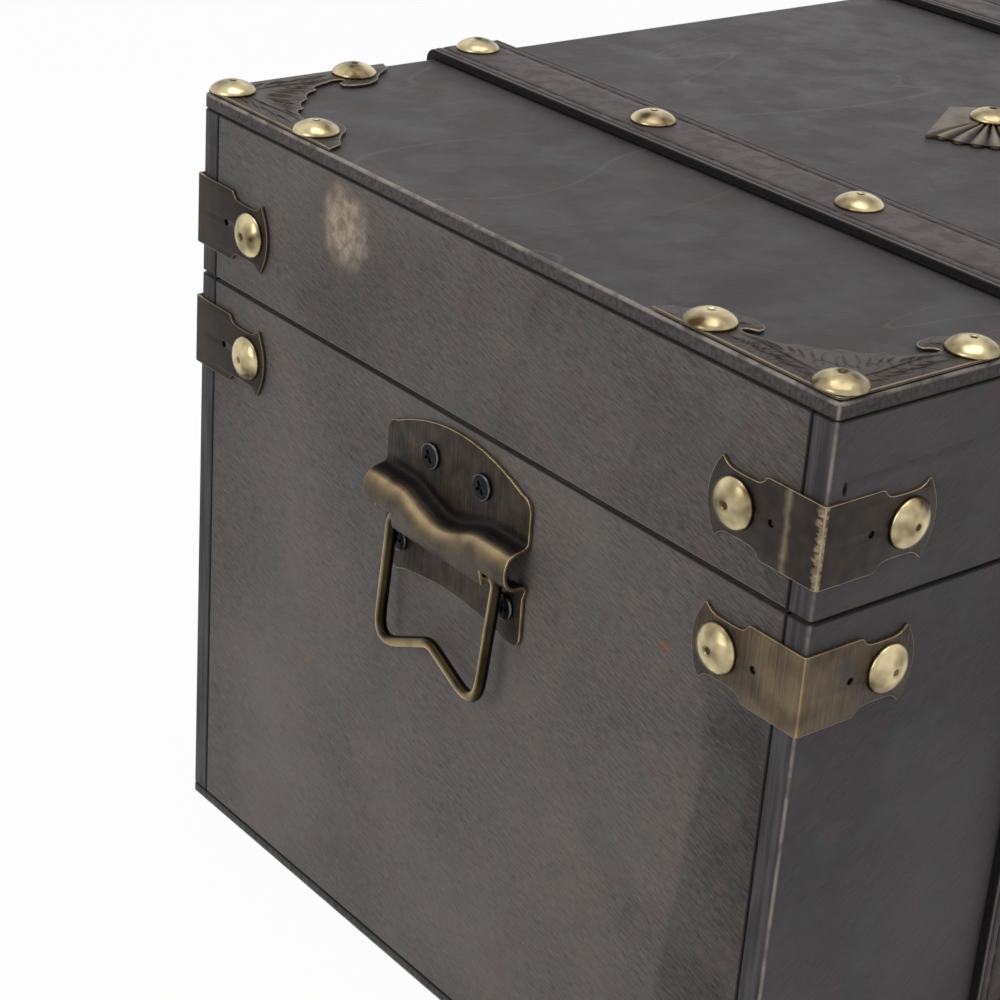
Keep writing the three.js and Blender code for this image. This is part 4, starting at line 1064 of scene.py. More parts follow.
def add_brackets(head):
    holes = [
        [(sign * SPARE_HOLE_REACH + x, y) for x, y in arc((0, 0), SPARE_HOLE_RADIUS, 0, 330, 11)]
        for sign in (-1, 1)
    ]
    sheet = cut_sheet(bracket_outline(), METAL_THICKNESS, holes)

    def is_outer_rim(face):
        from_hole = math.hypot(abs(face.center.x) - SPARE_HOLE_REACH, face.center.y)
        return abs(face.normal.z) < 0.97 and from_hole > 2 * SPARE_HOLE_RADIUS

    mark_rim(sheet, is_outer_rim)
    bracket = fold_bracket(sheet)
    face = -SEAT_GAP - METAL_THICKNESS
    for part, height, finish in (
        ("lid", seam_height + LID_BRACKET_RISE, bracket_dark),
        ("base", seam_height - BASE_BRACKET_DROP, bracket_light),
    ):
        for corner, across, along, turn in CORNERS:
            place = corner_place(across, along, turn, height)
            node = f"{part}_corner_bracket_{corner}"
            skin = finish if corner.startswith("front") else bracket_dull
            install(copy_at(bracket, place), node + "_sheet", part, skin, "antique_bronze", node)
            for leg, side, x, y in (("a", "front", BRACKET_TACK_REACH, face), ("b", "left", face, BRACKET_TACK_REACH)):
                add_tack(head, f"{node}_tack_{leg}", part, place @ seat(side, x, y, 0))
    discard(bracket)


# Scrolled plates on the lid's corners

PLATE_SHARES = {
    "tip": (1, 0), "tip_shoulder": (0.97, 0.078), "waist_pull": (0.86, 0.14), "waist": (0.82, 0.21),
    "lobe_pull": (0.75, 0.262), "lobe": (0.685, 0.25), "hook_pull": (0.63, 0.25), "hook": (0.61, 0.212),
    "slot_mouth": (0.618, 0.185), "slot_end": (0.655, 0.137), "scroll": (0.57, 0.15),
    "scallop_pull": (0.5, 0.165), "scallop": (0.468, 0.19), "cusp": (0.453, 0.232),
    "crown_pull": (0.37, 0.245), "crown": (0.332, 0.332),
}

# Leafy strokes on one leg of a plate: start, two pulls and end, in shares of the leg
PLATE_STROKES = [
    ((0.16, 0.13), (0.28, 0.06), (0.46, 0.17), (0.68, 0.09)),
    ((0.24, 0.14), (0.28, 0.22), (0.33, 0.2), (0.335, 0.275)),
    ((0.33, 0.13), (0.35, 0.19), (0.4, 0.17), (0.43, 0.215)),
    ((0.42, 0.13), (0.46, 0.16), (0.5, 0.13), (0.55, 0.145)),
    ((0.5, 0.13), (0.54, 0.14), (0.56, 0.11), (0.6, 0.12)),
    ((0.24, 0.105), (0.3, 0.04), (0.34, 0.06), (0.4, 0.05)),
    ((0.36, 0.11), (0.42, 0.05), (0.46, 0.06), (0.53, 0.055)),
    ((0.5, 0.11), (0.55, 0.06), (0.58, 0.06), (0.64, 0.055)),
    ((0.2, 0.18), (0.25, 0.24), (0.27, 0.23), (0.29, 0.29)),
    ((0.17, 0.09), (0.22, 0.05), (0.25, 0.05), (0.3, 0.045)),
    ((0.29, 0.15), (0.31, 0.2), (0.37, 0.2), (0.385, 0.245)),
    ((0.38, 0.14), (0.4, 0.18), (0.43, 0.16), (0.455, 0.185)),
    ((0.46, 0.13), (0.48, 0.15), (0.5, 0.13), (0.53, 0.15)),
    ((0.31, 0.1), (0.35, 0.06), (0.38, 0.07), (0.44, 0.06)),
    ((0.44, 0.11), (0.48, 0.06), (0.52, 0.07), (0.58, 0.06)),
    ((0.7, 0.12), (0.73, 0.17), (0.7, 0.2), (0.66, 0.21)),
    ((0.2, 0.2), (0.22, 0.26), (0.25, 0.26), (0.27, 0.3)),
]


def plate_outline():
    at = {name: (x * TOP_PLATE_LEG, y * TOP_PLATE_LEG) for name, (x, y) in PLATE_SHARES.items()}
    leg = [at["tip"], at["tip_shoulder"]]
    leg += quadratic(at["tip_shoulder"], at["waist_pull"], at["waist"], 5)
    leg += quadratic(at["waist"], at["lobe_pull"], at["lobe"], 6)
    leg += quadratic(at["lobe"], at["hook_pull"], at["hook"], 5)
    leg += quadratic(at["hook"], (at["hook"][0] - 0.2 * MM, at["slot_mouth"][1]), at["slot_mouth"], 2)
    leg += quadratic(at["slot_mouth"], (at["slot_end"][0] + MM, at["slot_end"][1] + 1.6 * MM), at["slot_end"], 4)
    leg += quadratic(at["slot_end"], (at["scroll"][0] + 2 * MM, at["slot_end"][1] - 0.6 * MM), at["scroll"], 4)
    leg += quadratic(at["scroll"], at["scallop_pull"], at["scallop"], 5)
    leg += quadratic(at["scallop"], (at["cusp"][0], at["scallop"][1]), at["cusp"], 2)
    leg += quadratic(at["cusp"], at["crown_pull"], at["crown"], 6)
    corner = arc((WOOD_CORNER_RADIUS, WOOD_CORNER_RADIUS), WOOD_CORNER_RADIUS, 180, 270)
    return corner + leg + [(y, x) for x, y in reversed(leg[:-1])]


def scroll_stroke(points):
    curve = bpy.data.curves.new("scroll", "CURVE")
    curve.dimensions = "3D"
    curve.bevel_depth = SCROLL_RADIUS
    curve.bevel_resolution = 2
    path = cubic(*[(x * TOP_PLATE_LEG, y * TOP_PLATE_LEG) for x, y in points], 10)
    spline = curve.splines.new("POLY")
    spline.points.add(len(path) - 1)
    for index, (point, (x, y)) in enumerate(zip(spline.points, path)):
        point.co = (x, y, METAL_THICKNESS / 2 - SCROLL_SINK, 1)
        point.radius = 0.25 + 0.75 * math.sin(math.pi * index / (len(path) - 1)) ** 0.7
    return as_mesh(curve)


def engraved_plate():
    plate = cut_sheet(plate_outline(), METAL_THICKNESS, rim=PLATE_RIM)
    mark_rim(plate, lambda face: 0.2 < abs(face.normal.z) < 0.97)
    strokes = []
    for points in PLATE_STROKES:
        strokes += [scroll_stroke(points), scroll_stroke([(y, x) for x, y in points])]
    return smooth(fuse([plate, *strokes]), 40)


def add_top_plates(head):
    plate = engraved_plate()
    shift = Matrix.Translation((TOP_PLATE_INSET, TOP_PLATE_INSET, SEAT_GAP + METAL_THICKNESS / 2))
    seats = [
        (CORNER_TACK_INSET, CORNER_TACK_INSET), (LEG_TACK_REACH, CORNER_TACK_INSET),
        (CORNER_TACK_INSET, LEG_TACK_REACH),
    ]
    for corner, across, along, turn in CORNERS:
        place = corner_place(across, along, turn, chest_top)
        node = f"lid_top_corner_plate_{corner}"
        install(copy_at(plate, place @ shift), node + "_sheet", "lid", plate_bronze, "antique_bronze", node)
        for index, (x, y) in enumerate(seats):
            spot_place = place @ Matrix.Translation((x, y, SEAT_GAP + METAL_THICKNESS))
            add_tack(head, f"{node}_tack_{index + 1}", "lid", spot_place)
    discard(plate)


# Straps


def strap_rows(legs):
    """Points along a strap's underside, in Y and Z, with the way out of the wood, from its straight legs"""
    rows = []
    for (start, end, out), following in zip(legs, [*legs[1:], None]):
        steps = math.ceil((end - start).length / STRAP_ROW_PITCH)
        rows += [(start.lerp(end, step / steps), out) for step in range(steps + 1)]
        if following:
            for step in range(1, STRAP_BEND_ROWS):
                way = out.lerp(following[2], step / STRAP_BEND_ROWS).normalized()
                rows.append((end + (way - out) * STRAP_BEND, way))
    return rows


def lid_legs(bottom):
    """The lid strap's straight lengths up the front, over the top and down the back"""
    reach = half_depth + SEAT_GAP
    top = chest_top + SEAT_GAP
    turn_y, turn_z = reach - STRAP_BEND, top - STRAP_BEND
    return [
        (Vector((-reach, bottom)), Vector((-reach, turn_z)), Vector((-1, 0))),
        (Vector((-turn_y, top)), Vector((turn_y, top)), Vector((0, 1))),
        (Vector((reach, turn_z)), Vector((reach, bottom)), Vector((1, 0))),
    ]


def strap_band(centre_x, route):
    """A strap with its grooved cross section, drawn along its route"""
    half = [(x * MM, lift * MM) for x, lift in STRAP_HALF_SECTION]
    section = half + [(-x, lift) for x, lift in reversed(half[1:])] + [half[0]]

    def place(column, row):
        across, lift = section[column]
        point, out = route[row]
        y, z = point + out * lift
        return (centre_x + across, y, z)

    band = clean_shell(shaped_grid(len(section) - 1, len(route) - 1, place))
    band.data.materials.append(brown_leather)
    band.data.materials.append(black_edge)
    for face in band.data.polygons:
        on_side = abs(face.center.x - centre_x) > 11.85 * MM
        face.material_index = int(on_side or len(face.vertices) > 4)
    return smooth(band, 32)


def single_stitch():
    bpy.ops.mesh.primitive_uv_sphere_add(segments=6, ring_count=5, radius=0.5)
    stitch = bpy.context.object
    stitch.scale = (STITCH_WIDTH, STITCH_LENGTH, STITCH_WIDTH)
    return smooth(settle(stitch), 180)


def stitch_rows(centre_x, legs, stitch):
    """Two rows of long stitches down each straight length of a strap, each stitch a copy of one"""
    mesh = bmesh.new()
    for start, end, out in legs:
        length = (end - start).length
        count = int(length / STITCH_PITCH)
        along = Matrix.Rotation(math.atan2(-out.x, out.y), 4, "X")
        for index in range(count):
            y, z = start.lerp(end, (index + 0.5) / count) + out * (STRAP_THICKNESS - 0.3 * MM)
            for side in (-1, 1):
                lean = Matrix.Rotation(math.radians(chance.uniform(0.8, 2.4)) * side, 4, "Z")
                first = len(mesh.verts)
                mesh.from_mesh(stitch.data)
                mesh.verts.ensure_lookup_table()
                spot_place = Matrix.Translation((centre_x + side * STITCH_LINE, y, z)) @ along @ lean
                bmesh.ops.transform(mesh, matrix=spot_place, verts=mesh.verts[first:])
    data = bpy.data.meshes.new("stitches")
    mesh.to_mesh(data)
    mesh.free()
    piece = bpy.data.objects.new("stitches", data)
    bpy.context.scene.collection.objects.link(piece)
    return smooth(piece, 180)


def add_strap(name, node, body, centre_x, legs, stitch):
    install(strap_band(centre_x, strap_rows(legs)), name, body, None, "strap_leather", node)
    install(stitch_rows(centre_x, legs, stitch), name + "_stitching", body, thread, "strap_leather")


def add_straps(head):
    stitch = single_stitch()
    face = half_depth + SEAT_GAP + STRAP_THICKNESS
    top = chest_top + SEAT_GAP + STRAP_THICKNESS
    for side in ("left", "right"):
        base_low, base_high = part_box(f"base_front_strap_{side}")
        centre_x = (base_low.x + base_high.x) / 2
        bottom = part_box(f"lid_strap_{side}")[0].z
        add_strap(f"lid_strap_{side}_leather", f"lid_strap_{side}", "lid", centre_x, lid_legs(bottom), stitch)
        drop = bottom + (top - bottom) * LID_DROP_TACK_SHARE
        add_tack(head, f"lid_strap_{side}_front_tack", "lid", seat("front", centre_x, -face, drop))
        add_tack(head, f"lid_strap_{side}_back_tack", "lid", seat("back", centre_x, face, drop))
        first = STRAP_TACK_END_INSET - half_depth
        for index in range(STRAP_TOP_TACKS):
            y = first - 2 * first * index / (STRAP_TOP_TACKS - 1)
            node = f"lid_strap_{side}_tack_{index + 1}"
            add_tack(head, node + "_head", "lid", seat("up", centre_x, y, top), node)
        for where, sign in (("front", -1), ("back", 1)):
            node = f"base_{where}_strap_{side}"
            reach = sign * (half_depth + SEAT_GAP)
            ends = [Vector((reach, base_low.z)), Vector((reach, base_high.z))]
            add_strap(node + "_leather", node, "base", centre_x, [(*ends[::-sign], Vector((sign, 0)))], stitch)
            for index, share in enumerate(BASE_STRAP_TACK_SHARES):
                z = base_low.z + (base_high.z - base_low.z) * share
                add_tack(head, f"{node}_tack_{index + 1}", "base", seat(where, centre_x, sign * face, z))
    discard(stitch)


# Handles

HOOD_INNER = 18.45
BAND_INNER = 24.75
HOOD_DIP = 4.4
HOOD_DIP_HALF_WIDTH = 17.3
HOOD_REACH = 7.7
FRONT_RISE = 5.3
LIP_DROP = 2.1
LIP_LEAN = 1.8
BEND_RISE = 12.5
BAND_RISE = 0.6
BAND_FOOT = -0.9
SHEET_MIDDLE = 0.8
WAIST_SHARE = 28.2 / 29


def handle_top(y):
    """Height of the plate's arched top edge"""
    shoulder = 25
    if abs(y) <= shoulder:
        return 23.8 + 6 * (1 - (y / shoulder) ** 2)
    return 19.8 + 4 * math.sqrt(max(0, 1 - ((abs(y) - shoulder) / 4) ** 2))


def handle_bottom(y):
    """Height of the plate's lower edge, with its arched instep and two rounded feet"""
    y = abs(y)
    if y <= 20.2:
        return -13.7 - 2.3 * (y / 20.2) ** 2
    if y <= 22.7:
        return -16 - 0.8 * math.sin((y - 20.2) / 2.5 * math.pi / 2)
    return -16.8 + 2.5 * (1 - math.sqrt(max(0, 1 - (max(0, y - 25.7) / 2.5) ** 2)))


def dip_share(y, z):
    """How far the hood's ridge sinks at a point"""
    if abs(y) >= HOOD_DIP_HALF_WIDTH:
        return 0
    span = BEND_RISE + 2 - FRONT_RISE
    across = (1 + math.cos(math.pi * y / HOOD_DIP_HALF_WIDTH)) / 2
    below = min(1, max(0, (z + LIP_DROP) / (LIP_DROP + FRONT_RISE)))
    above = min(1, max(0, (FRONT_RISE + span * 2 - z) / span))
    return across * below * above


def spread(start, end, steps):
    return [start + (end - start) * step / steps for step in range(steps)]


RISE_STEPS, RIDGE_STEPS, TURN_STEPS, TUCK_STEPS = 7, 8, 7, 5
# Steps of the turn that stay in front of the notches for the bail's legs
NOTCH_STEPS = 3
# How bright the hood is painted at each step down its ridge: a painted highlight along the crest
RIDGE_HIGHLIGHT = (0, 0.03, 0.25, 0.85, 0.6, 0.36, 0.24, 0.16, 0.1)


def handle_rows():
    """The plate's section from its top edge down: zone, place in it or a fixed point, and how bright it is painted,
    with a painted highlight on the ridge
    """
    rise = cubic((SHEET_MIDDLE, BEND_RISE), (SHEET_MIDDLE, 10.6), (1.8, 10.6), (4.25, 10.1), RISE_STEPS)
    ridge = cubic((4.25, 10.1), (6.7, 9.6), (HOOD_REACH, 8.2), (HOOD_REACH, FRONT_RISE), RIDGE_STEPS)
    rows = [("upper", share, 0) for share in spread(0, 1, 8)]
    rows += [("fixed", point, -0.12) for point in rise[:-1]]
    rows += [("fixed", point, wear_and_painted_light) for point, wear_and_painted_light in zip(ridge, RIDGE_HIGHLIGHT)]
    rows += [("turn", (step + 1) / TURN_STEPS, 0.06) for step in range(TURN_STEPS)]
    rows += [("tuck", (step + 1) / TUCK_STEPS, 0) for step in range(TUCK_STEPS)]
    rows += [("lower", (step + 1) / 6, 0) for step in range(6)]
    return rows


def handle_point(zone, value, y):
    if zone == "upper":
        return SHEET_MIDDLE, handle_top(y) + (BEND_RISE - handle_top(y)) * value
    if zone == "fixed":
        return value
    if zone == "turn":
        if abs(y) < BAND_INNER - 0.01:
            return HOOD_REACH - LIP_LEAN * value, FRONT_RISE - (LIP_DROP + FRONT_RISE) * value
        turn = cubic((HOOD_REACH, FRONT_RISE), (HOOD_REACH, 2.95), (6.7, BAND_RISE), (3.8, BAND_RISE), TURN_STEPS)
        return turn[round(value * TURN_STEPS)]
    if zone == "tuck":
        tuck = cubic((3.8, BAND_RISE), (1.8, BAND_RISE), (SHEET_MIDDLE, 0.1), (SHEET_MIDDLE, BAND_FOOT), TUCK_STEPS)
        return tuck[round(value * TUCK_STEPS)]
    return SHEET_MIDDLE, BAND_FOOT + (handle_bottom(y * WAIST_SHARE) - BAND_FOOT) * value


def handle_sheet():
    """The handle's plate, bent out into a hood over the bail and back to the wall at both sides"""
    columns = spread(-29, -BAND_INNER, 6) + spread(-BAND_INNER, -HOOD_INNER, 5) + spread(-HOOD_INNER, HOOD_INNER, 28)
    columns += spread(HOOD_INNER, BAND_INNER, 5) + spread(BAND_INNER, 29, 6) + [29]
    rows = handle_rows()

    def place(column, row):
        y = columns[column]
        zone, value, wear_and_painted_light = rows[row]
        x, z = handle_point(zone, value, y)
        z -= HOOD_DIP * dip_share(y, z) if zone in ("upper", "fixed", "turn") else 0
        if zone == "lower":
            y *= WAIST_SHARE
        return (x * MM, y * MM, z * MM)

    sheet = shaped_grid(len(columns) - 1, len(rows) - 1, place)
    mark_rub_and_light(sheet, lambda point: rows[point.index // len(columns)][2])
    open_faces(sheet, columns, rows)
    sheet.data.materials.append(None)
    sheet.data.materials.append(None)
    solid = sheet.modifiers.new("sheet thickness", "SOLIDIFY")
    solid.thickness = HANDLE_SHEET
    solid.offset = 0
    solid.material_offset_rim = 1
    apply_modifiers(sheet)
    with edit_mode(sheet):
        bpy.ops.mesh.select_all(action="SELECT")
        bpy.ops.mesh.normals_make_consistent(inside=False)
    return smooth(round_off(sheet, HANDLE_RIM, 2, 60), 40)


def open_faces(sheet, columns, rows):
    """Takes out the notches for the bail's legs and the gap under the hood's lip"""
    mesh = bmesh.new()
    mesh.from_mesh(sheet.data)
    last_row = len(rows) - 1
    doomed = []
    for face in mesh.faces:
        row = min(point.index // len(columns) for point in face.verts)
        column = min(point.index % len(columns) for point in face.verts)
        zone, value, wear_and_painted_light = rows[min(row + 1, last_row)]
        y = abs(columns[column] + columns[column + 1]) / 2
        under_notch = zone == "turn" and value * TURN_STEPS > NOTCH_STEPS + 0.5 and HOOD_INNER < y < BAND_INNER
        if under_notch or zone == "tuck" and y < BAND_INNER:
            doomed.append(face)
    bmesh.ops.delete(mesh, geom=doomed, context="FACES")
    mesh.to_mesh(sheet.data)
    mesh.free()


def bail_wire():
    """The bail: its ends turn in under the hood, it leans out as it goes down, and its grip has a peak in the middle"""
    outline = [(-13.1, 0), (-21.6, 0), (-20.9, -35.9), (0, -26.7), (20.9, -35.9), (21.6, 0), (13.1, 0)]
    pulls = [2.6 * MM, 9 * MM, 2.6 * MM, 9 * MM, 2.6 * MM]
    points = [((3.85 - 3.35 * z / 35.9) * MM, y * MM, z * MM) for y, z in outline]
    grip = wire(points, pulls, BAIL_WIRE_RADIUS, 24)
    # One side of the wire, by the way its surface faces, is painted bright as a highlight; the rest stays dark as a
    # painted reflection of the wood
    painted_highlight_side = Vector((0.35, -0.8, -0.5)).normalized()
    mark_rub_and_light(grip, lambda point: max(0, min(1, 1.5 * point.normal.dot(painted_highlight_side))))
    return grip


def cross_screw():
    """A flat screw head with a cross recess"""
    head = turned([(3.1, 0), (3.5, 0), (3.5, 0.5), (3.35, 0.76), (3.1, 0.85), (2.6, 0.86), (1.3, 0.9), (0.3, 0.9)], 28)
    for length, width in ((3.6, 0.85), (0.85, 3.6)):
        bpy.ops.mesh.primitive_cube_add(size=1, location=(0, 0, 0.9 * MM), scale=(length * MM, width * MM, 1.1 * MM))
        tool = settle(bpy.context.object)
        cut = head.modifiers.new("cross", "BOOLEAN")
        cut.object = tool
        cut.solver = "EXACT"
        apply_modifiers(head)
        discard(tool)
    mark_rim(head, lambda face: 3.1 * MM < Vector(face.center[:2]).length and face.center.z > 0.45 * MM)
    return smooth(head, 30)


def add_handles():
    sheet = handle_sheet()
    grip = bail_wire()
    screw = cross_screw()
    height = seam_height - HANDLE_AXIS_DROP
    for side, sign, turn in (("left", -1, 180), ("right", 1, 0)):
        place = Matrix.Translation((sign * half_length, 0, height)) @ Matrix.Rotation(math.radians(turn), 4, "Z")
        install(
            copy_at(sheet, place), f"{side}_handle_plate_sheet", "base", handle_bronze, "antique_bronze",
            f"{side}_handle_plate",
        )
        install(
            copy_at(grip, place), f"{side}_handle_bail_wire", f"{side}_bail", wire_bronze, "antique_bronze",
            f"{side}_handle_bail",
        )
        for index, (y, z) in enumerate(SCREW_PLACES):
            spin = Matrix.Rotation(chance.uniform(0, math.pi / 2), 4, "Z")
            spot_place = place @ seat("right", SEAT_GAP + HANDLE_SHEET, y * MM, z * MM) @ spin
            node = f"{side}_handle_screw_{index + 1}"
            install(copy_at(screw, spot_place), node + "_head", "base", steel, "dark_steel", node)
    for piece in (sheet, grip, screw):
        discard(piece)


# Hinges and hasp


def knuckle_spans(count, half_width, own):
    pitch = half_width * 2 / count
    spans = [(-half_width + pitch * i + KNUCKLE_GAP / 2, -half_width + pitch * (i + 1) - KNUCKLE_GAP / 2) for i in range(count)]
    return [span for index, span in enumerate(spans) if index % 2 == own]


def knuckles(spans, radius, reach):
    pieces = []
    for start, end in spans:
        tube = rod(radius, start, end)
        tube.data.transform(Matrix.Translation((0, reach, 0)))
        pieces.append(tube)
    return pieces


def leaf_plate(left, low, right, high, near, far, radius=1.2 * MM):
    """A plate that lies in X and Z, with rounded corners, and thick in Y"""
    outline = (
        arc((right - radius, low + radius), radius, -90, 0) + arc((right - radius, high - radius), radius, 0, 90)
        + arc((left + radius, high - radius), radius, 90, 180) + arc((left + radius, low + radius), radius, 180, 270)
    )
    plate = cut_sheet(outline, far - near)
    plate.data.transform(Matrix.Translation((0, (near + far) / 2, 0)) @ Matrix.Rotation(math.pi / 2, 4, "X"))
    return plate


def rivet_head():
    return smooth(turned([(1.8, 0), (2, 0), (1.95, 0.25), (1.6, 0.55), (1, 0.75), (0.3, 0.8)], 20), 50)


def pin(radius, half_width, reach):
    ends = [rod(PIN_HEAD_RADIUS, sign * half_width - (PIN_HEAD_LENGTH if sign < 0 else 0),
                sign * half_width + (PIN_HEAD_LENGTH if sign > 0 else 0)) for sign in (-1, 1)]
    whole = fuse([rod(radius, -half_width, half_width), *ends])
    whole.data.transform(Matrix.Translation((0, reach, 0)))
    return whole


def hinge_leaf(sign, rivet):
    reach = SEAT_GAP + KNUCKLE_RADIUS
    near, far = SEAT_GAP, SEAT_GAP + METAL_THICKNESS
    edge = sign * (KNUCKLE_RADIUS + LEAF_CLEARANCE)
    tip = sign * HINGE_LEAF_HEIGHT
    pieces = [leaf_plate(-HINGE_HALF_WIDTH, min(edge, tip), HINGE_HALF_WIDTH, max(edge, tip), near, far)]
    spans = knuckle_spans(HINGE_KNUCKLES, HINGE_HALF_WIDTH, int(sign > 0))
    pieces += knuckles(spans, KNUCKLE_RADIUS, reach)
    for start, end in spans:
        low, high = sorted((0, edge * 1.15))
        bpy.ops.mesh.primitive_cube_add(
            size=1, location=((start + end) / 2, (near + far) / 2, (low + high) / 2),
            scale=(end - start, far - near, high - low),
        )
        pieces.append(settle(bpy.context.object))
    for side in (-1, 1):
        place = seat("back", side * HINGE_HALF_WIDTH * 0.6, far, tip * 0.6)
        pieces.append(copy_at(rivet, place))
    return smooth(fuse(pieces), 35)


def add_hinges(rivet):
    for side, sign in (("left", -1), ("right", 1)):
        place = Matrix.Translation((sign * (half_length - HINGE_INSET), half_depth, seam_height))
        for part, up in (("lid", 1), ("base", -1)):
            leaf = hinge_leaf(up, rivet)
            leaf.data.transform(place)
            node = f"{side}_hinge_{part}_leaf"
            install(leaf, node + "_brass", part, bracket_light, "antique_bronze", node)
        shaft = pin(PIN_RADIUS, HINGE_HALF_WIDTH, SEAT_GAP + KNUCKLE_RADIUS)
        shaft.data.transform(place)
        install(shaft, f"{side}_hinge_pin_brass", "base", bracket_light, "antique_bronze", f"{side}_hinge_pin")


def flap_outline():
    half = HASP_FLAP_HALF_WIDTH
    neck = -(HASP_KNUCKLE_RADIUS + LEAF_CLEARANCE)
    tip = half - HASP_FLAP_LENGTH
    return [(half, neck), (-half, neck)] + arc((0, tip), half, 180, 360, 20)


def flap_slot():
    half, low, high = 2.7 * MM, -STAPLE_OFFSET - 7.3 * MM, -STAPLE_OFFSET + 7.3 * MM
    return arc((0, high - half), half, 0, 180, 10) + arc((0, low + half), half, 180, 360, 10)


def hasp_flap():
    reach = SEAT_GAP + HASP_KNUCKLE_RADIUS
    flap = cut_sheet(flap_outline(), HASP_FLAP_THICKNESS, [flap_slot()])
    flap.data.transform(Matrix.Translation((0, reach, 0)) @ Matrix.Rotation(math.pi / 2, 4, "X"))
    spans = knuckle_spans(HASP_KNUCKLES, HASP_FLAP_HALF_WIDTH, 1)
    pieces = [flap, *knuckles(spans, HASP_KNUCKLE_RADIUS, reach)]
    for start, end in spans:
        bpy.ops.mesh.primitive_cube_add(
            size=1, location=((start + end) / 2, reach, -1.4 * MM), scale=(end - start, HASP_FLAP_THICKNESS, 2.8 * MM),
        )
        pieces.append(settle(bpy.context.object))
    return smooth(fuse(pieces), 35)


def hasp_plate(rivet):
    reach = SEAT_GAP + HASP_KNUCKLE_RADIUS
    near, far = SEAT_GAP, SEAT_GAP + METAL_THICKNESS
    edge = -(HASP_KNUCKLE_RADIUS + LEAF_CLEARANCE)
    half = HASP_PLATE_HALF_WIDTH
    pieces = [leaf_plate(-half, -HASP_PLATE_HEIGHT, half, edge, near, far, 2 * MM)]
    spans = knuckle_spans(HASP_KNUCKLES, HASP_FLAP_HALF_WIDTH, 0)
    pieces += knuckles(spans, HASP_KNUCKLE_RADIUS, reach)
    for start, end in spans:
        bpy.ops.mesh.primitive_cube_add(
            size=1, location=((start + end) / 2, (near + far) / 2, edge * 0.55), scale=(end - start, far - near, -edge * 1.1),
        )
        pieces.append(settle(bpy.context.object))
    for side in (-1, 1):
        pieces.append(copy_at(rivet, seat("back", side * 13.5 * MM, far, (edge - HASP_PLATE_HEIGHT) / 2)))
    return smooth(fuse(pieces), 35)


def hasp_staple(rivet):
    near, far = SEAT_GAP, SEAT_GAP + METAL_THICKNESS
    half = HASP_PLATE_HALF_WIDTH
    pieces = [leaf_plate(-half, STAPLE_OFFSET - 10 * MM, half, STAPLE_OFFSET + 10 * MM, near, far, 2 * MM)]
    root = (near + far) / 2
    points = [
        (0, y, STAPLE_OFFSET + z * STAPLE_HALF_SPAN)
        for y, z in ((root, -1), (STAPLE_REACH, -1), (STAPLE_REACH, 1), (root, 1))
    ]
    pieces.append(wire(points, [2.5 * MM, 2.5 * MM], STAPLE_WIRE_RADIUS))
    for side in (-1, 1):
        pieces.append(copy_at(rivet, seat("back", side * 13.5 * MM, far, STAPLE_OFFSET)))
    return smooth(fuse(pieces), 35)


def add_hasp(rivet):
    place = Matrix.Translation((0, -half_depth, seam_height - HASP_DROP)) @ Matrix.Rotation(math.pi, 4, "Z")
    reach = SEAT_GAP + HASP_KNUCKLE_RADIUS
    for piece, node, body in (
        (hasp_plate(rivet), "hasp_base_plate", "base"),
        (hasp_flap(), "hasp_flap", "hasp"),
        (pin(PIN_RADIUS, HASP_FLAP_HALF_WIDTH, reach), "hasp_pin", "base"),
        (hasp_staple(rivet), "hasp_lid_staple", "lid"),
    ):
        piece.data.transform(place)
        install(piece, node + "_bronze", body, bracket_light, "antique_bronze", node)


# Shell


def shell_reach(angle):
    """How far the shell's outline lies from its centre at an angle, with the lobe share of the flute there"""
    cos, sin = abs(math.cos(angle)), abs(math.sin(angle))
    if math.sin(angle) >= 0:
        return 1 / (cos / SHELL_WING + sin / SHELL_BACK), 1
    lobe = max(abs(math.sin(SHELL_FLUTES * (angle - math.pi))), 1 - 16 * sin)
    oval = Vector((SHELL_HALF_WIDTH * cos, SHELL_FRONT * sin)).length
    scalloped = oval * (1 - (1 - lobe) * SHELL_SCALLOP / SHELL_FRONT)
    return max(scalloped, SHELL_WING * (1 - 2 * sin)), lobe


def shell_relief():
    around, rings = 280, 12

    def place(column, row):
        angle = math.tau * column / around
        share = row / rings
        reach, lobe = shell_reach(angle)
        flute = (1 - lobe) * 1.15 * MM * min(1, share * 2) * (1 - 0.35 * share ** 3)
        crown = (SHELL_THICKNESS - 0.25 * MM) * (1 - share ** 5 * 0.55)
        height = crown - flute + 0.25 * MM
        return (reach * share * math.cos(angle), reach * share * math.sin(angle), height)

    face = shaped_grid(around, rings, place)
    with edit_mode(face):
        bpy.ops.mesh.select_all(action="SELECT")
        bpy.ops.mesh.remove_doubles(threshold=0.01 * MM)
        bpy.ops.mesh.select_all(action="DESELECT")
        bpy.ops.mesh.select_mode(type="EDGE")
        bpy.ops.mesh.select_non_manifold(extend=False, use_boundary=True)
        bpy.ops.mesh.extrude_region_move(TRANSFORM_OT_translate={"value": (0, 0, -0.9 * MM)})
    for point in face.data.vertices:
        point.co.z = max(point.co.z, 0)

    # The back half is painted lighter as a reflection of the backdrop; on the front the flutes' crests are lighter and
    # their hollows darker, partly worn and tarnished and partly painted highlight and shade
    def wear_and_painted_light(point):
        lobe = shell_reach(math.atan2(point.co.y, point.co.x))[1]
        return 0.3 if point.co.y > 0 else 0.8 * lobe ** 3 - 0.15

    mark_rub_and_light(face, wear_and_painted_light)
    return smooth(clean_shell(face), 60)


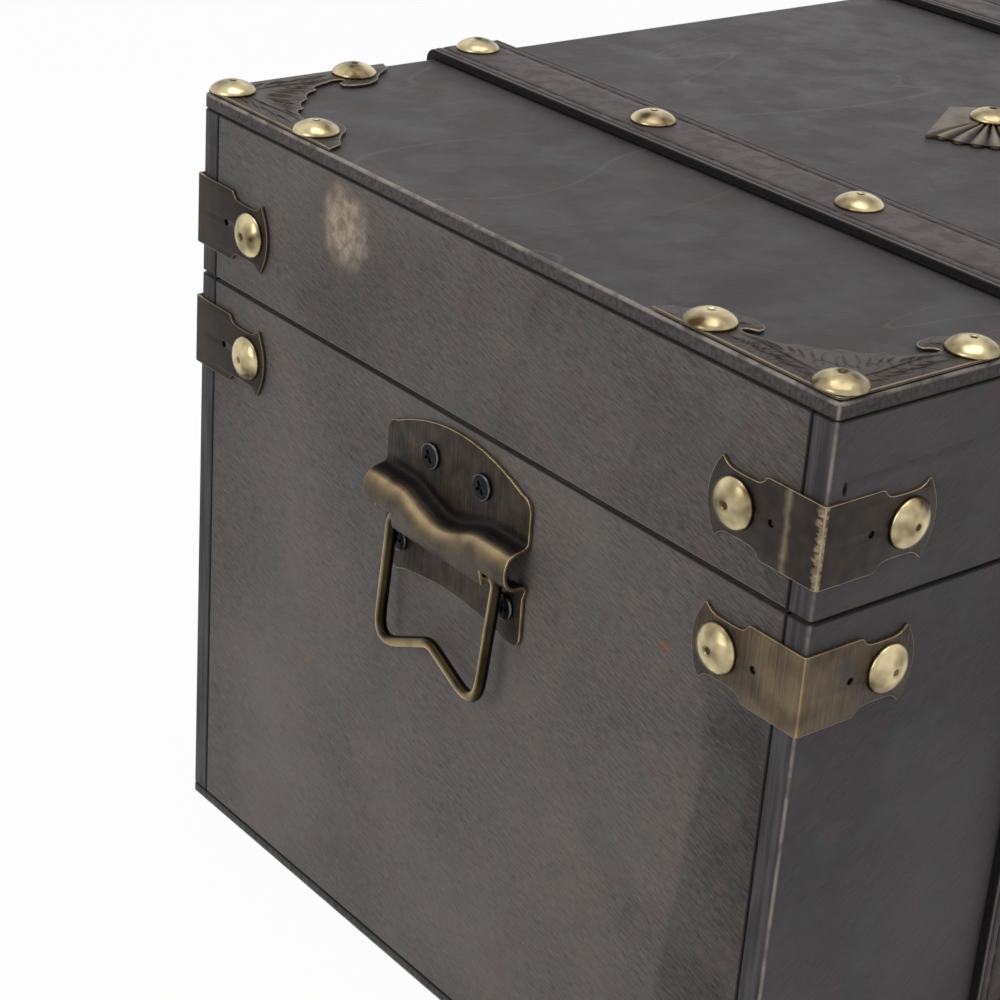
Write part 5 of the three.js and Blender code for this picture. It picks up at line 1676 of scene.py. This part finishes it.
def add_shell(head):
    shell = shell_relief()
    shell.data.transform(Matrix.Translation((0, 0, chest_top + SEAT_GAP)))
    install(shell, "lid_shell_relief", "lid", shell_bronze, "antique_bronze", "lid_shell")
    top = seat("up", 0, 0, chest_top + SEAT_GAP + SHELL_THICKNESS)
    add_tack(head, "lid_shell_tack_head", "lid", top, "lid_shell_tack")


# Studio


def add_camera():
    """The photograph's viewpoint, worked out from the chest's own edges"""
    lens = bpy.data.cameras.new("camera")
    lens.lens = 89.856
    lens.sensor_width = 36
    camera = bpy.data.objects.new("camera", lens)
    bpy.context.scene.collection.objects.link(camera)
    right = Vector((0.7861, -0.6146, 0.0661)).normalized()
    ahead = Vector((0.5786, 0.6940, -0.4284)).normalized()
    up = right.cross(ahead)
    turn = Matrix((right, up, -ahead)).transposed().to_4x4()
    camera.matrix_world = Matrix.Translation((-0.52708, -0.43320, 0.41200)) @ turn
    bpy.context.scene.camera = camera


def add_lamp(name, place, target, size, watts):
    light = bpy.data.lights.new(name, "AREA")
    light.shape = "RECTANGLE"
    light.size, light.size_y = size
    light.energy = watts
    lamp = bpy.data.objects.new(name, light)
    bpy.context.scene.collection.objects.link(lamp)
    lamp.location = place
    lamp.rotation_euler = (Vector(target) - Vector(place)).to_track_quat("-Z", "Y").to_euler()


def seen_directly(tree):
    """1 for rays that show the background: from the camera, and off metal or through glass"""
    path = tree.nodes.new("ShaderNodeLightPath").outputs
    share = math_of(tree, "MAXIMUM", path["Is Camera Ray"], path["Is Glossy Ray"])
    return math_of(tree, "MAXIMUM", share, path["Is Transmission Ray"])


def add_world(ambient):
    world = bpy.data.worlds.new("studio")
    bpy.context.scene.world = world
    world.use_nodes = True
    tree = world.node_tree
    sky = tree.nodes["Background"]
    level = ramp(tree, seen_directly(tree), 0, 1, ambient, 1.0)
    sky.inputs["Color"].default_value = (1, 1, 1, 1)
    tree.links.new(level, sky.inputs["Strength"])


def add_floor():
    bpy.ops.mesh.primitive_plane_add(size=8, location=(0, 0, -0.2 * MM))
    floor = bpy.context.object
    floor.name = "studio_floor"
    material = bpy.data.materials.new("studio_floor_white")
    material.use_nodes = True
    tree = material.node_tree
    tree.nodes.remove(tree.nodes["Principled BSDF"])
    matt = add_node(tree, "ShaderNodeBsdfDiffuse", {"Color": (0.92, 0.92, 0.92, 1)}).outputs[0]
    glow = add_node(tree, "ShaderNodeEmission", {"Color": (1, 1, 1, 1), "Strength": 1.0}).outputs[0]
    share = ramp(tree, seen_directly(tree), 0, 1, 0.0, 0.96)
    mixed = add_node(tree, "ShaderNodeMixShader", {0: share, 1: matt, 2: glow}).outputs[0]
    tree.links.new(mixed, tree.nodes["Material Output"].inputs["Surface"])
    floor.data.materials.append(material)


def add_studio():
    add_camera()
    add_world(0.3)
    add_floor()
    middle = (0, 0, 0.12)
    add_lamp("overhead softbox", (-0.1, -0.1, 1.35), middle, (0.9, 0.9), 5.2)
    add_lamp("left softbox", (-1.45, -0.15, 0.75), middle, (0.7, 0.9), 5.8)
    bpy.context.scene.view_settings.view_transform = "Standard"


add_studio()
add_boards()
tack = tack_head()
rivet = rivet_head()
add_brackets(tack)
add_top_plates(tack)
add_straps(tack)
add_handles()
add_hinges(rivet)
add_hasp(rivet)
add_shell(tack)
discard(tack)
discard(rivet)
